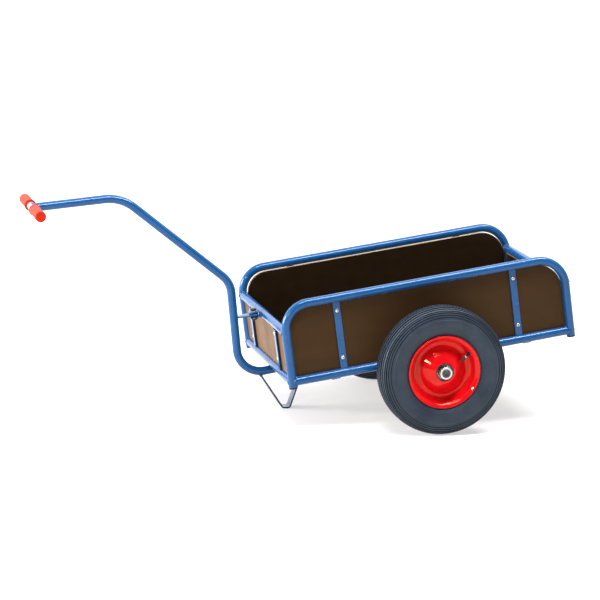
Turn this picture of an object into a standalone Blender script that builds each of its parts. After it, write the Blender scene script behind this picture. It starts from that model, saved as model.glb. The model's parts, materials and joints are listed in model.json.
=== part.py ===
"""Two-wheel garden cart with a fixed drawbar, a T handle and a V-shaped stand.

A box of film-faced plywood sits in two inverted-U side frames of round steel
tube, joined by cross rails.  A through axle under the floor carries two
pneumatic wheels.  The drawbar rises from under the floor to a T handle with
two grips, and a flat-bar stand under it reaches the ground, so the parked
cart leans forward by a few degrees.

Everything is laid out in the cart's own level frame first, with the axle
centre as zero, +X to the rear, +Y to the right-hand side and +Z up.  The
parent empties then lean the cart forward until its stand is on the ground,
and put the origin at the middle of its footprint.
"""
import bpy
import bmesh
import math
from mathutils import Matrix, Vector

# ------------------------------------------------------------------ dimensions (metres)
GAP = 0.0003                 # clearance between pieces that touch

TUBE_R = 0.01345             # 26.9 mm round tube of the frame and the drawbar
TUBE_WALL = 0.0020
HALF_LENGTH = 0.450          # leg centres from the axle, front and rear
HALF_WIDTH = 0.300           # side frame centres from the middle
TOP_Z = 0.263                # centre of the top rails over the axle centre
LOW_Z = 0.0266               # centre of the lower rails
CROSS_Z = 0.1815             # centre of the upper cross rails
LEG_END_Z = 0.0105           # open lower ends of the legs
FRONT_BEND_R = 0.078         # bend radii of the side frames, to the centre line
REAR_BEND_R = 0.088
TUBE_SIDES = 12

BAR_W = 0.022                # flat upright bars
BAR_T = 0.005
END_BAR_T = 0.008            # the bars at the ends are thicker and stand proud
END_BAR_PROUD = 0.0095
SIDE_BAR_X = 0.283
END_BAR_Y = 0.170
SCREW_TOP_Z = 0.222
SCREW_LOW_Z = 0.0735
END_SCREW_TOP_Z = 0.155
SCREW_R = 0.0062
SCREW_H = 0.0026

PANEL_T = 0.009              # plywood walls
PANEL_TOP = 0.2500
PANEL_LIFT = 0.0128          # from a rail's centre to the edge of a wall beside it
FRONT_CORNER = 0.068         # upper corners of the side walls
REAR_CORNER = 0.092
FLOOR_Z0 = 0.0240
FLOOR_Z1 = 0.0360

CROSS_X = 0.3095             # floor bearers, front and rear
CROSS_W = 0.030
CROSS_Z0 = 0.0065
CROSS_WALL = 0.003

AXLE_R = 0.0125
AXLE_END = 0.438
BRACKET_T = 0.006

WHEEL_R = 0.200              # 4.00-8 tyre: 400 mm across, 100 mm wide
TRACK_HALF = 0.378
HUB_R = 0.0270
HUB_BORE_R = 0.0232
HUB_HALF = 0.0420
BEARING_R = 0.0229
BEARING_BORE_R = 0.0128
BEARING_IN = 0.014
BEARING_OUT = 0.034
COLLAR_R = 0.0193
COLLAR_BORE_R = 0.0128
VALVE_ROOT = (0.0895, 0.0390, 0.0195)    # X, Z and depth from the wheel's middle, at the rim's wall
VALVE_TIP = (0.0586, 0.0199, 0.0275)
VALVE_FOOT_R = 0.0062
VALVE_STEM_R = 0.0042
VALVE_CAP_R = 0.0050

HANDLE_X = -1.121            # centre of the T handle's crossbar
HANDLE_Z = 0.640
HANDLE_R = 0.0125
HANDLE_HALF = 0.1645
GRIP_R = 0.0165
GRIP_IN = 0.045
GRIP_OUT = 0.172

DRAW_NECK = (-0.846, 0.6255)     # corners of the drawbar's centre line, X and Z
DRAW_ELBOW = (-0.5432, 0.3003)
DRAW_HEEL = (-0.5550, -0.0010)
DRAW_NECK_R = 0.130
DRAW_ELBOW_R = 0.080
DRAW_HEEL_R = 0.078
DRAW_ROUND_X = -0.349            # the tube is round up to here
DRAW_FLAT_X = -0.330             # and pressed flat from here to its end
DRAW_END_X = -0.288
FLAT_W = 0.038
FLAT_T = 0.007

PIVOT_X = -0.482             # upright bolt that holds the drawbar to the front rail
PIVOT_BOLT_R = 0.0050
WASHER_R = 0.0115
WASHER_T = 0.0020
CLEVIS_T = 0.0030
SLEEVE_R = 0.0130
SLEEVE_Z0 = 0.1790
SLEEVE_Z1 = 0.1920

STAND_W = 0.040              # flat bar of the stand
STAND_T = 0.005
STAND_FRONT = (-0.4865, -0.0159)
STAND_FOOT_A = (-0.4340, -0.1268)
STAND_FOOT_B = (-0.4115, -0.1306)
STAND_REAR = (-0.3530, -0.0160)
STAND_BEND_R = 0.009

# ------------------------------------------------------------------ clean start
for old in list(bpy.data.objects):
    bpy.data.objects.remove(old, do_unlink=True)


# ------------------------------------------------------------------ materials
def material(name, colour, roughness, metallic=0.0, coat=0.0):
    m = bpy.data.materials.new(name)
    m.use_nodes = True
    b = m.node_tree.nodes["Principled BSDF"]
    b.inputs["Base Color"].default_value = (*colour, 1.0)
    b.inputs["Roughness"].default_value = roughness
    b.inputs["Metallic"].default_value = metallic
    b.inputs["Coat Weight"].default_value = coat
    m.diffuse_color = (*colour, 1.0)
    return m


BLUE = material("blue_powder_coat", (0.020, 0.125, 0.380), 0.28, 0.0, 0.3)
RED = material("red_rim_enamel", (0.730, 0.010, 0.012), 0.18, 0.0, 0.5)
ZINC = material("zinc_plate", (0.720, 0.730, 0.740), 0.30, 1.0)
STEEL = material("bright_steel", (0.360, 0.365, 0.370), 0.38, 1.0)
DARK_STEEL = material("dark_steel", (0.060, 0.065, 0.070), 0.45, 1.0)
TYRE = material("tyre_rubber", (0.035, 0.043, 0.055), 0.62)
BLACK = material("black_plastic", (0.012, 0.013, 0.015), 0.40)
GRIP = material("orange_red_grip", (0.780, 0.110, 0.050), 0.50)
PLY = material("film_faced_plywood", (0.052, 0.026, 0.013), 0.42)


# ------------------------------------------------------------------ shape helpers
CART = []        # objects that stay with the cart
WHEELS = {"left": [], "right": []}


def finish(bm, name, mat, owner=CART, smooth_angle=35):
    """Close up a bmesh, point its faces outwards and give it a name and a material."""
    bmesh.ops.remove_doubles(bm, verts=bm.verts, dist=1e-6)
    bmesh.ops.recalc_face_normals(bm, faces=bm.faces)
    me = bpy.data.meshes.new(name)
    bm.to_mesh(me)
    bm.free()
    me.materials.append(mat)
    if smooth_angle:
        me.shade_smooth()
        me.set_sharp_from_angle(angle=math.radians(smooth_angle))
    ob = bpy.data.objects.new(name, me)
    bpy.context.scene.collection.objects.link(ob)
    if owner is not None:
        owner.append(ob)
    return ob


def prism(name, outline, axis, lo, hi, mat, owner=CART, smooth_angle=35):
    """Extrude a closed outline along one axis.  Outline pairs follow the other two axes."""
    def place(a, b, c):
        return {"X": (c, a, b), "Y": (a, c, b), "Z": (a, b, c)}[axis]
    bm = bmesh.new()
    face = bm.faces.new([bm.verts.new(place(a, b, lo)) for a, b in outline])
    out = bmesh.ops.extrude_face_region(bm, geom=[face])
    moved = [g for g in out["geom"] if isinstance(g, bmesh.types.BMVert)]
    bmesh.ops.translate(bm, verts=moved, vec=place(0.0, 0.0, hi - lo))
    return finish(bm, name, mat, owner, smooth_angle)


def block(name, lo, hi, mat, owner=CART):
    outline = [(lo[0], lo[1]), (hi[0], lo[1]), (hi[0], hi[1]), (lo[0], hi[1])]
    return prism(name, outline, "Z", lo[2], hi[2], mat, owner, 0)


def rounded(x0, z0, x1, z1, r00, r10, r11, r01, steps=6):
    """Rectangle outline with its own radius at each corner, counter-clockwise."""
    pts = []
    for cx, cz, sx, sz, r, start in ((x0, z0, 1, 1, r00, 180), (x1, z0, -1, 1, r10, 270),
                                     (x1, z1, -1, -1, r11, 0), (x0, z1, 1, -1, r01, 90)):
        if r <= 0:
            pts.append((cx, cz))
            continue
        for k in range(steps + 1):
            a = math.radians(start + 90.0 * k / steps)
            pts.append((cx + sx * r + r * math.cos(a), cz + sz * r + r * math.sin(a)))
    return pts


def rod(name, a, b, radius, mat, owner=CART, sides=20):
    """Solid round bar from a to b."""
    a, b = Vector(a), Vector(b)
    bm = bmesh.new()
    bmesh.ops.create_cone(bm, cap_ends=True, segments=sides, radius1=radius, radius2=radius,
                          depth=(b - a).length)
    turn = (b - a).to_track_quat("Z", "Y").to_matrix().to_4x4()
    bm.transform(Matrix.Translation((a + b) / 2) @ turn)
    return finish(bm, name, mat, owner)


def turned(name, profile, centre, mat, owner=CART, sides=32, axis="Y"):
    """Spin a closed (radius, offset) outline about an axis through the centre."""
    bm = bmesh.new()
    if axis == "Y":
        verts = [bm.verts.new((r, y, 0.0)) for r, y in profile]
        spin_axis = (0, 1, 0)
    else:
        verts = [bm.verts.new((r, 0.0, y)) for r, y in profile]
        spin_axis = (0, 0, 1)
    edges = [bm.edges.new((verts[i], verts[(i + 1) % len(verts)])) for i in range(len(verts))
             if not (profile[i][0] == 0 and profile[(i + 1) % len(verts)][0] == 0)]
    bmesh.ops.spin(bm, geom=verts + edges, cent=(0, 0, 0), axis=spin_axis,
                   angle=2 * math.pi, steps=sides, use_merge=True)
    bm.transform(Matrix.Translation(centre))
    return finish(bm, name, mat, owner, 40)


def fillet(points, radii, steps=6):
    """Round the inner corners of a polyline in the XZ plane with true arcs."""
    pts = [Vector((p[0], p[1])) for p in points]
    out = [pts[0]]
    for i in range(1, len(pts) - 1):
        a, b, c = pts[i - 1], pts[i], pts[i + 1]
        u, v = (a - b).normalized(), (c - b).normalized()
        half = u.angle(v) / 2
        r = radii[i - 1]
        reach = r / math.tan(half)
        centre = b + (u + v).normalized() * (r / math.sin(half))
        s, e = b + u * reach - centre, b + v * reach - centre
        sweep_a = s.angle_signed(e)
        for k in range(steps + 1):
            turn = -sweep_a * k / steps
            out.append(centre + Vector((s.x * math.cos(turn) - s.y * math.sin(turn),
                                        s.x * math.sin(turn) + s.y * math.cos(turn))))
    out.append(pts[-1])
    return out


def circle(radius, sides):
    return [(radius * math.cos(2 * math.pi * k / sides), radius * math.sin(2 * math.pi * k / sides))
            for k in range(sides)]


def ring_points(path, sections, y):
    """Place one cross section at every path point, square to the path, in the plane of the path."""
    rings = []
    for i, p in enumerate(path):
        before = (p - path[i - 1]).normalized() if i else None
        after = (path[i + 1] - p).normalized() if i < len(path) - 1 else None
        t = (before + after).normalized() if before and after else (before or after)
        normal = Vector((-t.y, t.x))
        rings.append([(p.x + normal.x * v, y + u, p.y + normal.y * v) for u, v in sections[i]])
    return rings


def skin(bm, rings):
    """Join neighbouring rings with quads and return the vertex rings."""
    vr = [[bm.verts.new(c) for c in ring] for ring in rings]
    n = len(vr[0])
    for a, b in zip(vr, vr[1:]):
        for k in range(n):
            bm.faces.new((a[k], a[(k + 1) % n], b[(k + 1) % n], b[k]))
    return vr


def swept_tube(name, path, outer, inner, y, mat, inner_count=None, owner=CART):
    """Tube along a path: outer skin, inner skin and flat end rings.

    With inner_count the bore stops after that many path points and is closed there.
    """
    bm = bmesh.new()
    vo = skin(bm, ring_points(path, outer, y))
    m = len(path) if inner_count is None else inner_count
    vi = skin(bm, ring_points(path, inner, y)[:m])
    n = len(vo[0])

    def annulus(a, b):
        for k in range(n):
            bm.faces.new((a[k], a[(k + 1) % n], b[(k + 1) % n], b[k]))
    annulus(vo[0], vi[0])
    if inner_count is None:
        annulus(vo[-1], vi[-1])
    else:
        bm.faces.new(vi[-1])
        bm.faces.new(vo[-1])
    return finish(bm, name, mat, owner, 40)


def swept_bar(name, path, radius, y):
    """Solid round bar along a path, for shaping what meets it."""
    bm = bmesh.new()
    rings = skin(bm, ring_points(path, [circle(radius, TUBE_SIDES)] * len(path), y))
    bm.faces.new(rings[0])
    bm.faces.new(rings[-1])
    return finish(bm, name, BLUE, None)


def tube_rod(name, a, b, radius, wall, mat, owner=CART, sides=20):
    """Straight open tube from a to b."""
    a, b = Vector(a), Vector(b)
    length = (b - a).length
    bm = bmesh.new()
    rings = []
    for r, z in ((radius, 0.0), (radius, length), (radius - wall, length), (radius - wall, 0.0)):
        rings.append([bm.verts.new((x, w, z)) for x, w in circle(r, sides)])
    for i in range(4):
        p, q = rings[i], rings[(i + 1) % 4]
        for k in range(sides):
            bm.faces.new((p[k], p[(k + 1) % sides], q[(k + 1) % sides], q[k]))
    turn = (b - a).to_track_quat("Z", "Y").to_matrix().to_4x4()
    bm.transform(Matrix.Translation(a) @ turn)
    return finish(bm, name, mat, owner)


def cutter(ob):
    ob.hide_render = True
    ob.display_type = "WIRE"
    CART.append(ob)
    return ob


def boolean(ob, other, operation):
    mod = ob.modifiers.new(operation.lower() + "_" + other.name, "BOOLEAN")
    mod.operation = operation
    mod.solver = "EXACT"
    mod.object = other


# ------------------------------------------------------------------ side frames and rails
frame_path = fillet([(-HALF_LENGTH, LEG_END_Z), (-HALF_LENGTH, TOP_Z),
                     (HALF_LENGTH, TOP_Z), (HALF_LENGTH, LEG_END_Z)], [FRONT_BEND_R, REAR_BEND_R])
cope = {}        # cutters that shape the rails to the side frames and to each other
for side, y in (("left", -HALF_WIDTH), ("right", HALF_WIDTH)):
    cope["frame", side] = cutter(swept_bar(f"cope_frame_{side}", frame_path, TUBE_R + GAP, y))
    cope["rail", side] = cutter(rod(f"cope_rail_{side}", (-HALF_LENGTH, y, LOW_Z),
                                    (HALF_LENGTH, y, LOW_Z), TUBE_R + GAP, BLUE, None, TUBE_SIDES))

ring_out = [circle(TUBE_R, TUBE_SIDES)] * len(frame_path)
ring_in = [circle(TUBE_R - TUBE_WALL, TUBE_SIDES)] * len(frame_path)
for side, y in (("left", -HALF_WIDTH), ("right", HALF_WIDTH)):
    swept_tube(f"side_frame_{side}", frame_path, ring_out, ring_in, y, BLUE)
    rail = tube_rod(f"side_rail_{side}", (-HALF_LENGTH, y, LOW_Z), (HALF_LENGTH, y, LOW_Z),
                    TUBE_R, TUBE_WALL, BLUE, sides=TUBE_SIDES)
    boolean(rail, cope["frame", side], "DIFFERENCE")

for end, x in (("front", -HALF_LENGTH), ("rear", HALF_LENGTH)):
    for level, z in (("upper", CROSS_Z), ("lower", LOW_Z)):
        rail = tube_rod(f"{end}_rail_{level}", (x, -HALF_WIDTH, z), (x, HALF_WIDTH, z),
                        TUBE_R, TUBE_WALL, BLUE, sides=TUBE_SIDES)
        for side in ("left", "right"):
            boolean(rail, cope["frame", side], "DIFFERENCE")
            if level == "lower":
                boolean(rail, cope["rail", side], "DIFFERENCE")
    for side, y in (("left", -HALF_WIDTH), ("right", HALF_WIDTH)):
        # plastic plug: a stem inside the leg and a flat head under it
        stem = TUBE_R - TUBE_WALL - GAP
        z0 = LEG_END_Z - GAP - 0.0050
        turned(f"leg_plug_{end}_{side}",
               [(0, z0), (TUBE_R - 0.0012, z0), (TUBE_R, z0 + 0.0012), (TUBE_R, LEG_END_Z - GAP),
                (stem, LEG_END_Z - GAP), (stem - 0.0006, LEG_END_Z + 0.012), (0, LEG_END_Z + 0.012)],
               (x, y, 0), BLACK, sides=TUBE_SIDES, axis="Z")


# ------------------------------------------------------------------ flat upright bars with screw heads
def screw_profile(radius, height, sink):
    """Low domed head whose base is sunk into the bar."""
    return [(0, -sink), (radius, -sink), (radius, 0.4 * height), (0.72 * radius, 0.85 * height),
            (0, height)]


def upright(name, centre, facing, thickness, z0, z1, screws):
    """Flat bar between two rails.  Facing is the outward direction of its screw heads."""
    cx, cy = centre
    if facing[1]:
        lo = (cx - BAR_W / 2, min(cy, cy - facing[1] * thickness), z0)
        hi = (cx + BAR_W / 2, max(cy, cy - facing[1] * thickness), z1)
    else:
        lo = (min(cx, cx - facing[0] * thickness), cy - BAR_W / 2, z0)
        hi = (max(cx, cx - facing[0] * thickness), cy + BAR_W / 2, z1)
    bar = block(name, lo, hi, BLUE)
    for k, z in enumerate(screws):
        bm = bmesh.new()
        prof = screw_profile(SCREW_R, SCREW_H, 0.001)
        verts = [bm.verts.new((r, 0, h)) for r, h in prof]
        edges = [bm.edges.new((a, b)) for a, b in zip(verts, verts[1:])]
        bmesh.ops.spin(bm, geom=verts + edges, cent=(0, 0, 0), axis=(0, 0, 1),
                       angle=2 * math.pi, steps=10, use_merge=True)
        turn = Vector((facing[0], facing[1], 0)).to_track_quat("Z", "Y").to_matrix().to_4x4()
        bm.transform(Matrix.Translation((cx, cy, z)) @ turn)
        head = cutter(finish(bm, f"screw_{name}_{k}", ZINC, None))
        boolean(bar, head, "UNION")
    return bar


for end, sx in (("front", -1), ("rear", 1)):
    for side, sy in (("left", -1), ("right", 1)):
        upright(f"side_bar_{side}_{end}", (sx * SIDE_BAR_X, sy * HALF_WIDTH), (0, sy), BAR_T,
                LOW_Z + TUBE_R + GAP, TOP_Z - TUBE_R - GAP, (SCREW_TOP_Z, SCREW_LOW_Z))
        upright(f"end_bar_{end}_{side}", (sx * (HALF_LENGTH + END_BAR_PROUD), sy * END_BAR_Y),
                (sx, 0), END_BAR_T, LOW_Z + TUBE_R + GAP, CROSS_Z - TUBE_R - GAP,
                (END_SCREW_TOP_Z, SCREW_LOW_Z))

# ------------------------------------------------------------------ plywood walls and floor
WALL_OUT = BAR_T + GAP                     # outer face of a wall, inward from the frame's plane
wall_in = HALF_WIDTH - WALL_OUT - PANEL_T
wall_x = HALF_LENGTH - TUBE_R - GAP
wall_bottom = LOW_Z + PANEL_LIFT
side_outline = rounded(-wall_x, wall_bottom, wall_x, PANEL_TOP,
                       0.004, 0.004, REAR_CORNER, FRONT_CORNER, 7)
end_y = HALF_WIDTH - TUBE_R - GAP
end_outline = rounded(-end_y, LOW_Z + TUBE_R + GAP, end_y, CROSS_Z - TUBE_R - GAP,
                      0.003, 0.003, 0.003, 0.003, 3)
end_out = HALF_LENGTH + END_BAR_PROUD - END_BAR_T - GAP      # outer face of an end wall
for side, s in (("left", -1), ("right", 1)):
    a, b = s * (HALF_WIDTH - WALL_OUT), s * wall_in
    prism(f"side_panel_{side}", side_outline, "Y", min(a, b), max(a, b), PLY)
for end, s in (("front", -1), ("rear", 1)):
    a, b = s * end_out, s * (end_out - PANEL_T)
    prism(f"end_panel_{end}", end_outline, "X", min(a, b), max(a, b), PLY)
floor_x = HALF_LENGTH - TUBE_R - 0.00035
floor_y = HALF_WIDTH - TUBE_R - 0.00035
prism("floor_panel", rounded(-floor_x, -floor_y, floor_x, floor_y, 0.006, 0.006, 0.006, 0.006, 3),
      "Z", FLOOR_Z0, FLOOR_Z1, PLY)


# ------------------------------------------------------------------ floor bearers, axle and brackets
def channel(cx, half, z_open, z_web, wall):
    """Outline of a channel in X and Z, from its open side to the outer face of its web."""
    inner = z_web + math.copysign(wall, z_open - z_web)
    return [(cx - half, z_open), (cx - half, z_web), (cx + half, z_web), (cx + half, z_open),
            (cx + half - wall, z_open), (cx + half - wall, inner),
            (cx - half + wall, inner), (cx - half + wall, z_open)]


bearer_y = floor_y
bearers = {}
for end, sx in (("front", -1), ("rear", 1)):
    bearers[end] = prism(f"floor_bearer_{end}",
                         channel(sx * CROSS_X, CROSS_W / 2, FLOOR_Z0 - GAP, CROSS_Z0, CROSS_WALL),
                         "Y", -bearer_y, bearer_y, BLUE, smooth_angle=0)
prism("axle_channel", channel(0.0, 0.0195, -0.0045, FLOOR_Z0 - GAP, 0.003), "Y",
      -bearer_y, bearer_y, BLUE, smooth_angle=0)

rod("axle", (0, -AXLE_END, 0), (0, AXLE_END, 0), AXLE_R, DARK_STEEL, sides=24)
bracket = [(-0.036, LOW_Z - TUBE_R - GAP), (-0.036, 0.006)]
for k in range(9):
    a = math.radians(200.0 + 140.0 * k / 8)
    bracket.append((0.0215 * math.cos(a), 0.0215 * math.sin(a)))
bracket += [(0.036, 0.006), (0.036, LOW_Z - TUBE_R - GAP)]
for side, s in (("left", -1), ("right", 1)):
    y = s * HALF_WIDTH
    br = prism(f"axle_bracket_{side}", bracket, "Y", y - BRACKET_T / 2, y + BRACKET_T / 2, BLUE)
    hole = cutter(rod(f"axle_hole_{side}", (0, y - 0.02, 0), (0, y + 0.02, 0),
                      AXLE_R + GAP, BLUE, None, 24))
    boolean(br, hole, "DIFFERENCE")
    # spacer between the side rail and the hub, and the set collar outside the hub
    a = HALF_WIDTH + TUBE_R + GAP
    b = TRACK_HALF - HUB_HALF - 0.0006
    c = TRACK_HALF + HUB_HALF + 0.0010
    d = AXLE_END - 0.0025
    for part, r, lo, hi in (("axle_spacer", 0.0150, a, b), ("set_collar", COLLAR_R, c, d)):
        turned(f"{part}_{side}", [(COLLAR_BORE_R, s * lo), (r, s * lo), (r, s * (hi - 0.0012)),
                                  (r - 0.0012, s * hi), (COLLAR_BORE_R, s * hi)],
               (0, 0, 0), ZINC, sides=20)


# ------------------------------------------------------------------ wheels
# pressed steel rim: flange, bead seat, well, and a dish that rises to the hub mouth
rim_front = [(0.1140, 0.0375), (0.1124, 0.0405), (0.1085, 0.0400), (0.1030, 0.0352),
             (0.0983, 0.0300), (0.0972, 0.0170), (0.0910, 0.0090), (0.0800, 0.0065),
             (0.0700, 0.0100), (0.0500, 0.0275), (0.0330, 0.0388)]
rim_mouth = [(HUB_R + GAP, 0.0420), (HUB_R + GAP, 0.0385)]
rim_inside = [(0.0490, 0.0240), (0.0690, 0.0056)]
rim_tyre_side = [(0.0965, 0.0060), (0.1015, 0.0165), (0.1022, 0.0315), (0.1065, 0.0346)]
rim_half = rim_tyre_side + rim_front + rim_mouth + rim_inside
rim_loop = ([(r, y) for r, y in rim_half] + [(r, -y) for r, y in reversed(rim_half)])


def tyre_outline():
    """C-shaped section: beads, sidewalls, shoulders and a crown with four grooves."""
    lower = [(0.1027, 0.0310), (0.1146, 0.0345), (0.1180, 0.0395), (0.1320, 0.0470),
             (0.1500, 0.0500), (0.1720, 0.0480), (0.1870, 0.0425), (0.1925, 0.0385)]
    crown = []
    for y in (0.0330, 0.0265, 0.0235, 0.0205, 0.0110, 0.0080, 0.0050):
        r = WHEEL_R - 0.0070 * (y / 0.0378) ** 3.2
        if y in (0.0235, 0.0080):
            r -= 0.0032
        crown.append((r, y))
    inner = [(0.1915, 0.0120), (0.1800, 0.0340), (0.1540, 0.0430), (0.1240, 0.0350),
             (0.1030, 0.0215)]
    outer = lower + crown
    loop = outer + [(r, -y) for r, y in reversed(outer)]
    return loop + [(r, -y) for r, y in reversed(inner)] + inner


def wheel(side, s):
    own = WHEELS[side]
    middle = (0, 0, 0)
    turned(f"tyre_{side}", tyre_outline(), middle, TYRE, own, sides=36)
    rim = turned(f"rim_{side}", rim_loop, middle, RED, own, sides=28)
    turned(f"hub_{side}", [(HUB_BORE_R, -HUB_HALF), (HUB_R, -HUB_HALF),
                           (HUB_R, HUB_HALF), (HUB_BORE_R, HUB_HALF)], middle, STEEL, own, sides=24)
    for where, t in (("outer", s), ("inner", -s)):
        lo, hi = sorted((t * BEARING_IN, t * BEARING_OUT))
        turned(f"bearing_{where}_{side}", [(BEARING_BORE_R, lo), (BEARING_R, lo),
                                           (BEARING_R, hi), (BEARING_BORE_R, hi)],
               middle, STEEL, own, sides=20)
    # bent valve: a rubber foot through the rim's wall and a stem that lies in the dish
    root = Vector((VALVE_ROOT[0], s * VALVE_ROOT[2], VALVE_ROOT[1]))
    tip = Vector((VALVE_TIP[0], s * VALVE_TIP[2], VALVE_TIP[1]))
    outward = (root - tip).normalized()
    start = root + outward * 0.003
    length = (tip - start).length
    prof = [(0, 0), (VALVE_FOOT_R, 0), (VALVE_FOOT_R, 0.009), (VALVE_STEM_R, 0.013),
            (VALVE_STEM_R, length * 0.58), (VALVE_CAP_R, length * 0.60), (VALVE_CAP_R, length),
            (0, length)]
    bm = bmesh.new()
    verts = [bm.verts.new((r, 0, h)) for r, h in prof]
    edges = [bm.edges.new((p, q)) for p, q in zip(verts, verts[1:])]
    bmesh.ops.spin(bm, geom=verts + edges, cent=(0, 0, 0), axis=(0, 0, 1),
                   angle=2 * math.pi, steps=10, use_merge=True)
    bm.transform(Matrix.Translation(start) @ (-outward).to_track_quat("Z", "Y").to_matrix().to_4x4())
    finish(bm, f"valve_{side}", BLACK, own)
    # round hole in the rim's wall where the valve comes through
    hole = rod(f"valve_hole_{side}", root + outward * 0.015, tip, VALVE_FOOT_R + GAP, RED, own, 12)
    hole.hide_render = True
    hole.display_type = "WIRE"
    boolean(rim, hole, "DIFFERENCE")


wheel("left", -1)
wheel("right", 1)

# ------------------------------------------------------------------ drawbar
neck_dir = Vector((HANDLE_X - DRAW_NECK[0], HANDLE_Z - DRAW_NECK[1])).normalized()
draw = fillet([(HANDLE_X, HANDLE_Z), DRAW_NECK, DRAW_ELBOW, DRAW_HEEL,
               (DRAW_ROUND_X, DRAW_HEEL[1])], [DRAW_NECK_R, DRAW_ELBOW_R, DRAW_HEEL_R])
bore_count = len(draw)
flat_z = CROSS_Z0 - GAP - FLAT_T / 2
blend_steps = 4
SIDES = 16


def pressed(t):
    """Section between the round tube (t = 0) and the pressed flat end (t = 1)."""
    pts = []
    for k in range(SIDES):
        a = 2 * math.pi * k / SIDES
        cu, cv = math.cos(a), math.sin(a)
        fu = FLAT_W / 2 * math.copysign(abs(cu) ** 0.45, cu)
        fv = FLAT_T / 2 * math.copysign(abs(cv) ** 0.45, cv)
        pts.append((TUBE_R * cu * (1 - t) + fu * t, TUBE_R * cv * (1 - t) + fv * t))
    return pts


outer = [pressed(0.0)] * bore_count
inner = [circle(TUBE_R - TUBE_WALL, SIDES)] * bore_count
for k in range(1, blend_steps + 1):
    t = k / blend_steps
    ease = t * t * (3 - 2 * t)
    draw.append(Vector((DRAW_ROUND_X + (DRAW_FLAT_X - DRAW_ROUND_X) * t,
                        DRAW_HEEL[1] + (flat_z - DRAW_HEEL[1]) * ease)))
    outer.append(pressed(ease))
draw.append(Vector((DRAW_END_X, flat_z)))
outer.append(pressed(1.0))
inner += [inner[0]] * (len(draw) - bore_count)
drawbar = swept_tube("drawbar", draw, outer, inner, 0.0, BLUE, inner_count=bore_count)
handle_cope = cutter(rod("cope_handle", (HANDLE_X, -0.05, HANDLE_Z), (HANDLE_X, 0.05, HANDLE_Z),
                         HANDLE_R + GAP, BLUE, None, 24))
boolean(drawbar, handle_cope, "DIFFERENCE")
# keep only the piece behind the crossbar
front_trim = cutter(block("trim_handle", (HANDLE_X - 0.05, -0.05, HANDLE_Z - 0.05),
                          (HANDLE_X + 0.002, 0.05, HANDLE_Z + 0.05), BLUE, None))
boolean(drawbar, front_trim, "DIFFERENCE")
anchor_hole = cutter(rod("anchor_hole", (-CROSS_X, 0, -0.02), (-CROSS_X, 0, 0.02),
                         0.0065, BLUE, None, 20))
boolean(drawbar, anchor_hole, "DIFFERENCE")
boolean(bearers["front"], anchor_hole, "DIFFERENCE")


def hex_prism(bm, radius, z0, z1, x, y):
    pts = [(x + radius * math.cos(math.radians(30 + 60 * k)),
            y + radius * math.sin(math.radians(30 + 60 * k))) for k in range(6)]
    low = [bm.verts.new((a, b, z0)) for a, b in pts]
    high = [bm.verts.new((a, b, z1)) for a, b in pts]
    bm.faces.new(low)
    bm.faces.new(high)
    for k in range(6):
        bm.faces.new((low[k], low[(k + 1) % 6], high[(k + 1) % 6], high[k]))


# bolt that clamps the flat end under the front floor bearer
tongue_low = CROSS_Z0 - GAP - FLAT_T
bolt = turned("anchor_bolt", [(0, tongue_low - GAP - 0.002), (0.0120, tongue_low - GAP - 0.002),
                              (0.0120, tongue_low - GAP), (0.0060, tongue_low - GAP),
                              (0.0060, 0.0190), (0, 0.0190)],
              (-CROSS_X, 0, 0), ZINC, sides=20, axis="Z")
bm = bmesh.new()
hex_prism(bm, 0.0105, tongue_low - GAP - 0.0090, tongue_low - GAP - 0.0012, -CROSS_X, 0.0)
boolean(bolt, cutter(finish(bm, "anchor_bolt_head", ZINC, None)), "UNION")

# ------------------------------------------------------------------ strut, clevis and its bolt
mid_z = (SLEEVE_Z0 + SLEEVE_Z1) / 2
draw_x = DRAW_ELBOW[0] + (DRAW_HEEL[0] - DRAW_ELBOW[0]) * \
    (DRAW_ELBOW[1] - mid_z) / (DRAW_ELBOW[1] - DRAW_HEEL[1])
strut = prism("drawbar_strut",
              [(draw_x + 0.006, -0.0055), (PIVOT_X - 0.014, -0.0215), (PIVOT_X + 0.004, -0.0215),
               (PIVOT_X + 0.009, -0.0165), (PIVOT_X + 0.009, 0.0165), (PIVOT_X + 0.004, 0.0215),
               (PIVOT_X - 0.014, 0.0215), (draw_x + 0.006, 0.0055)],
              "Z", mid_z - 0.0025, mid_z + 0.0025, BLUE)
sleeve = cutter(rod("strut_sleeve", (PIVOT_X, 0, SLEEVE_Z0), (PIVOT_X, 0, SLEEVE_Z1),
                    SLEEVE_R, BLUE, None, 24))
boolean(strut, sleeve, "UNION")
pivot_hole = cutter(rod("pivot_hole", (PIVOT_X, 0, 0.15), (PIVOT_X, 0, 0.22),
                        PIVOT_BOLT_R + GAP, BLUE, None, 20))
boolean(strut, pivot_hole, "DIFFERENCE")
# the strut's narrow end is shaped to the drawbar's round side
lean = Vector((DRAW_HEEL[0] - DRAW_ELBOW[0], 0, DRAW_HEEL[1] - DRAW_ELBOW[1])).normalized()
at = Vector((draw_x, 0, mid_z))
strut_cope = cutter(rod("cope_strut", at - lean * 0.03, at + lean * 0.03, TUBE_R + GAP, BLUE,
                        None, 24))
boolean(strut, strut_cope, "DIFFERENCE")

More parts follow.
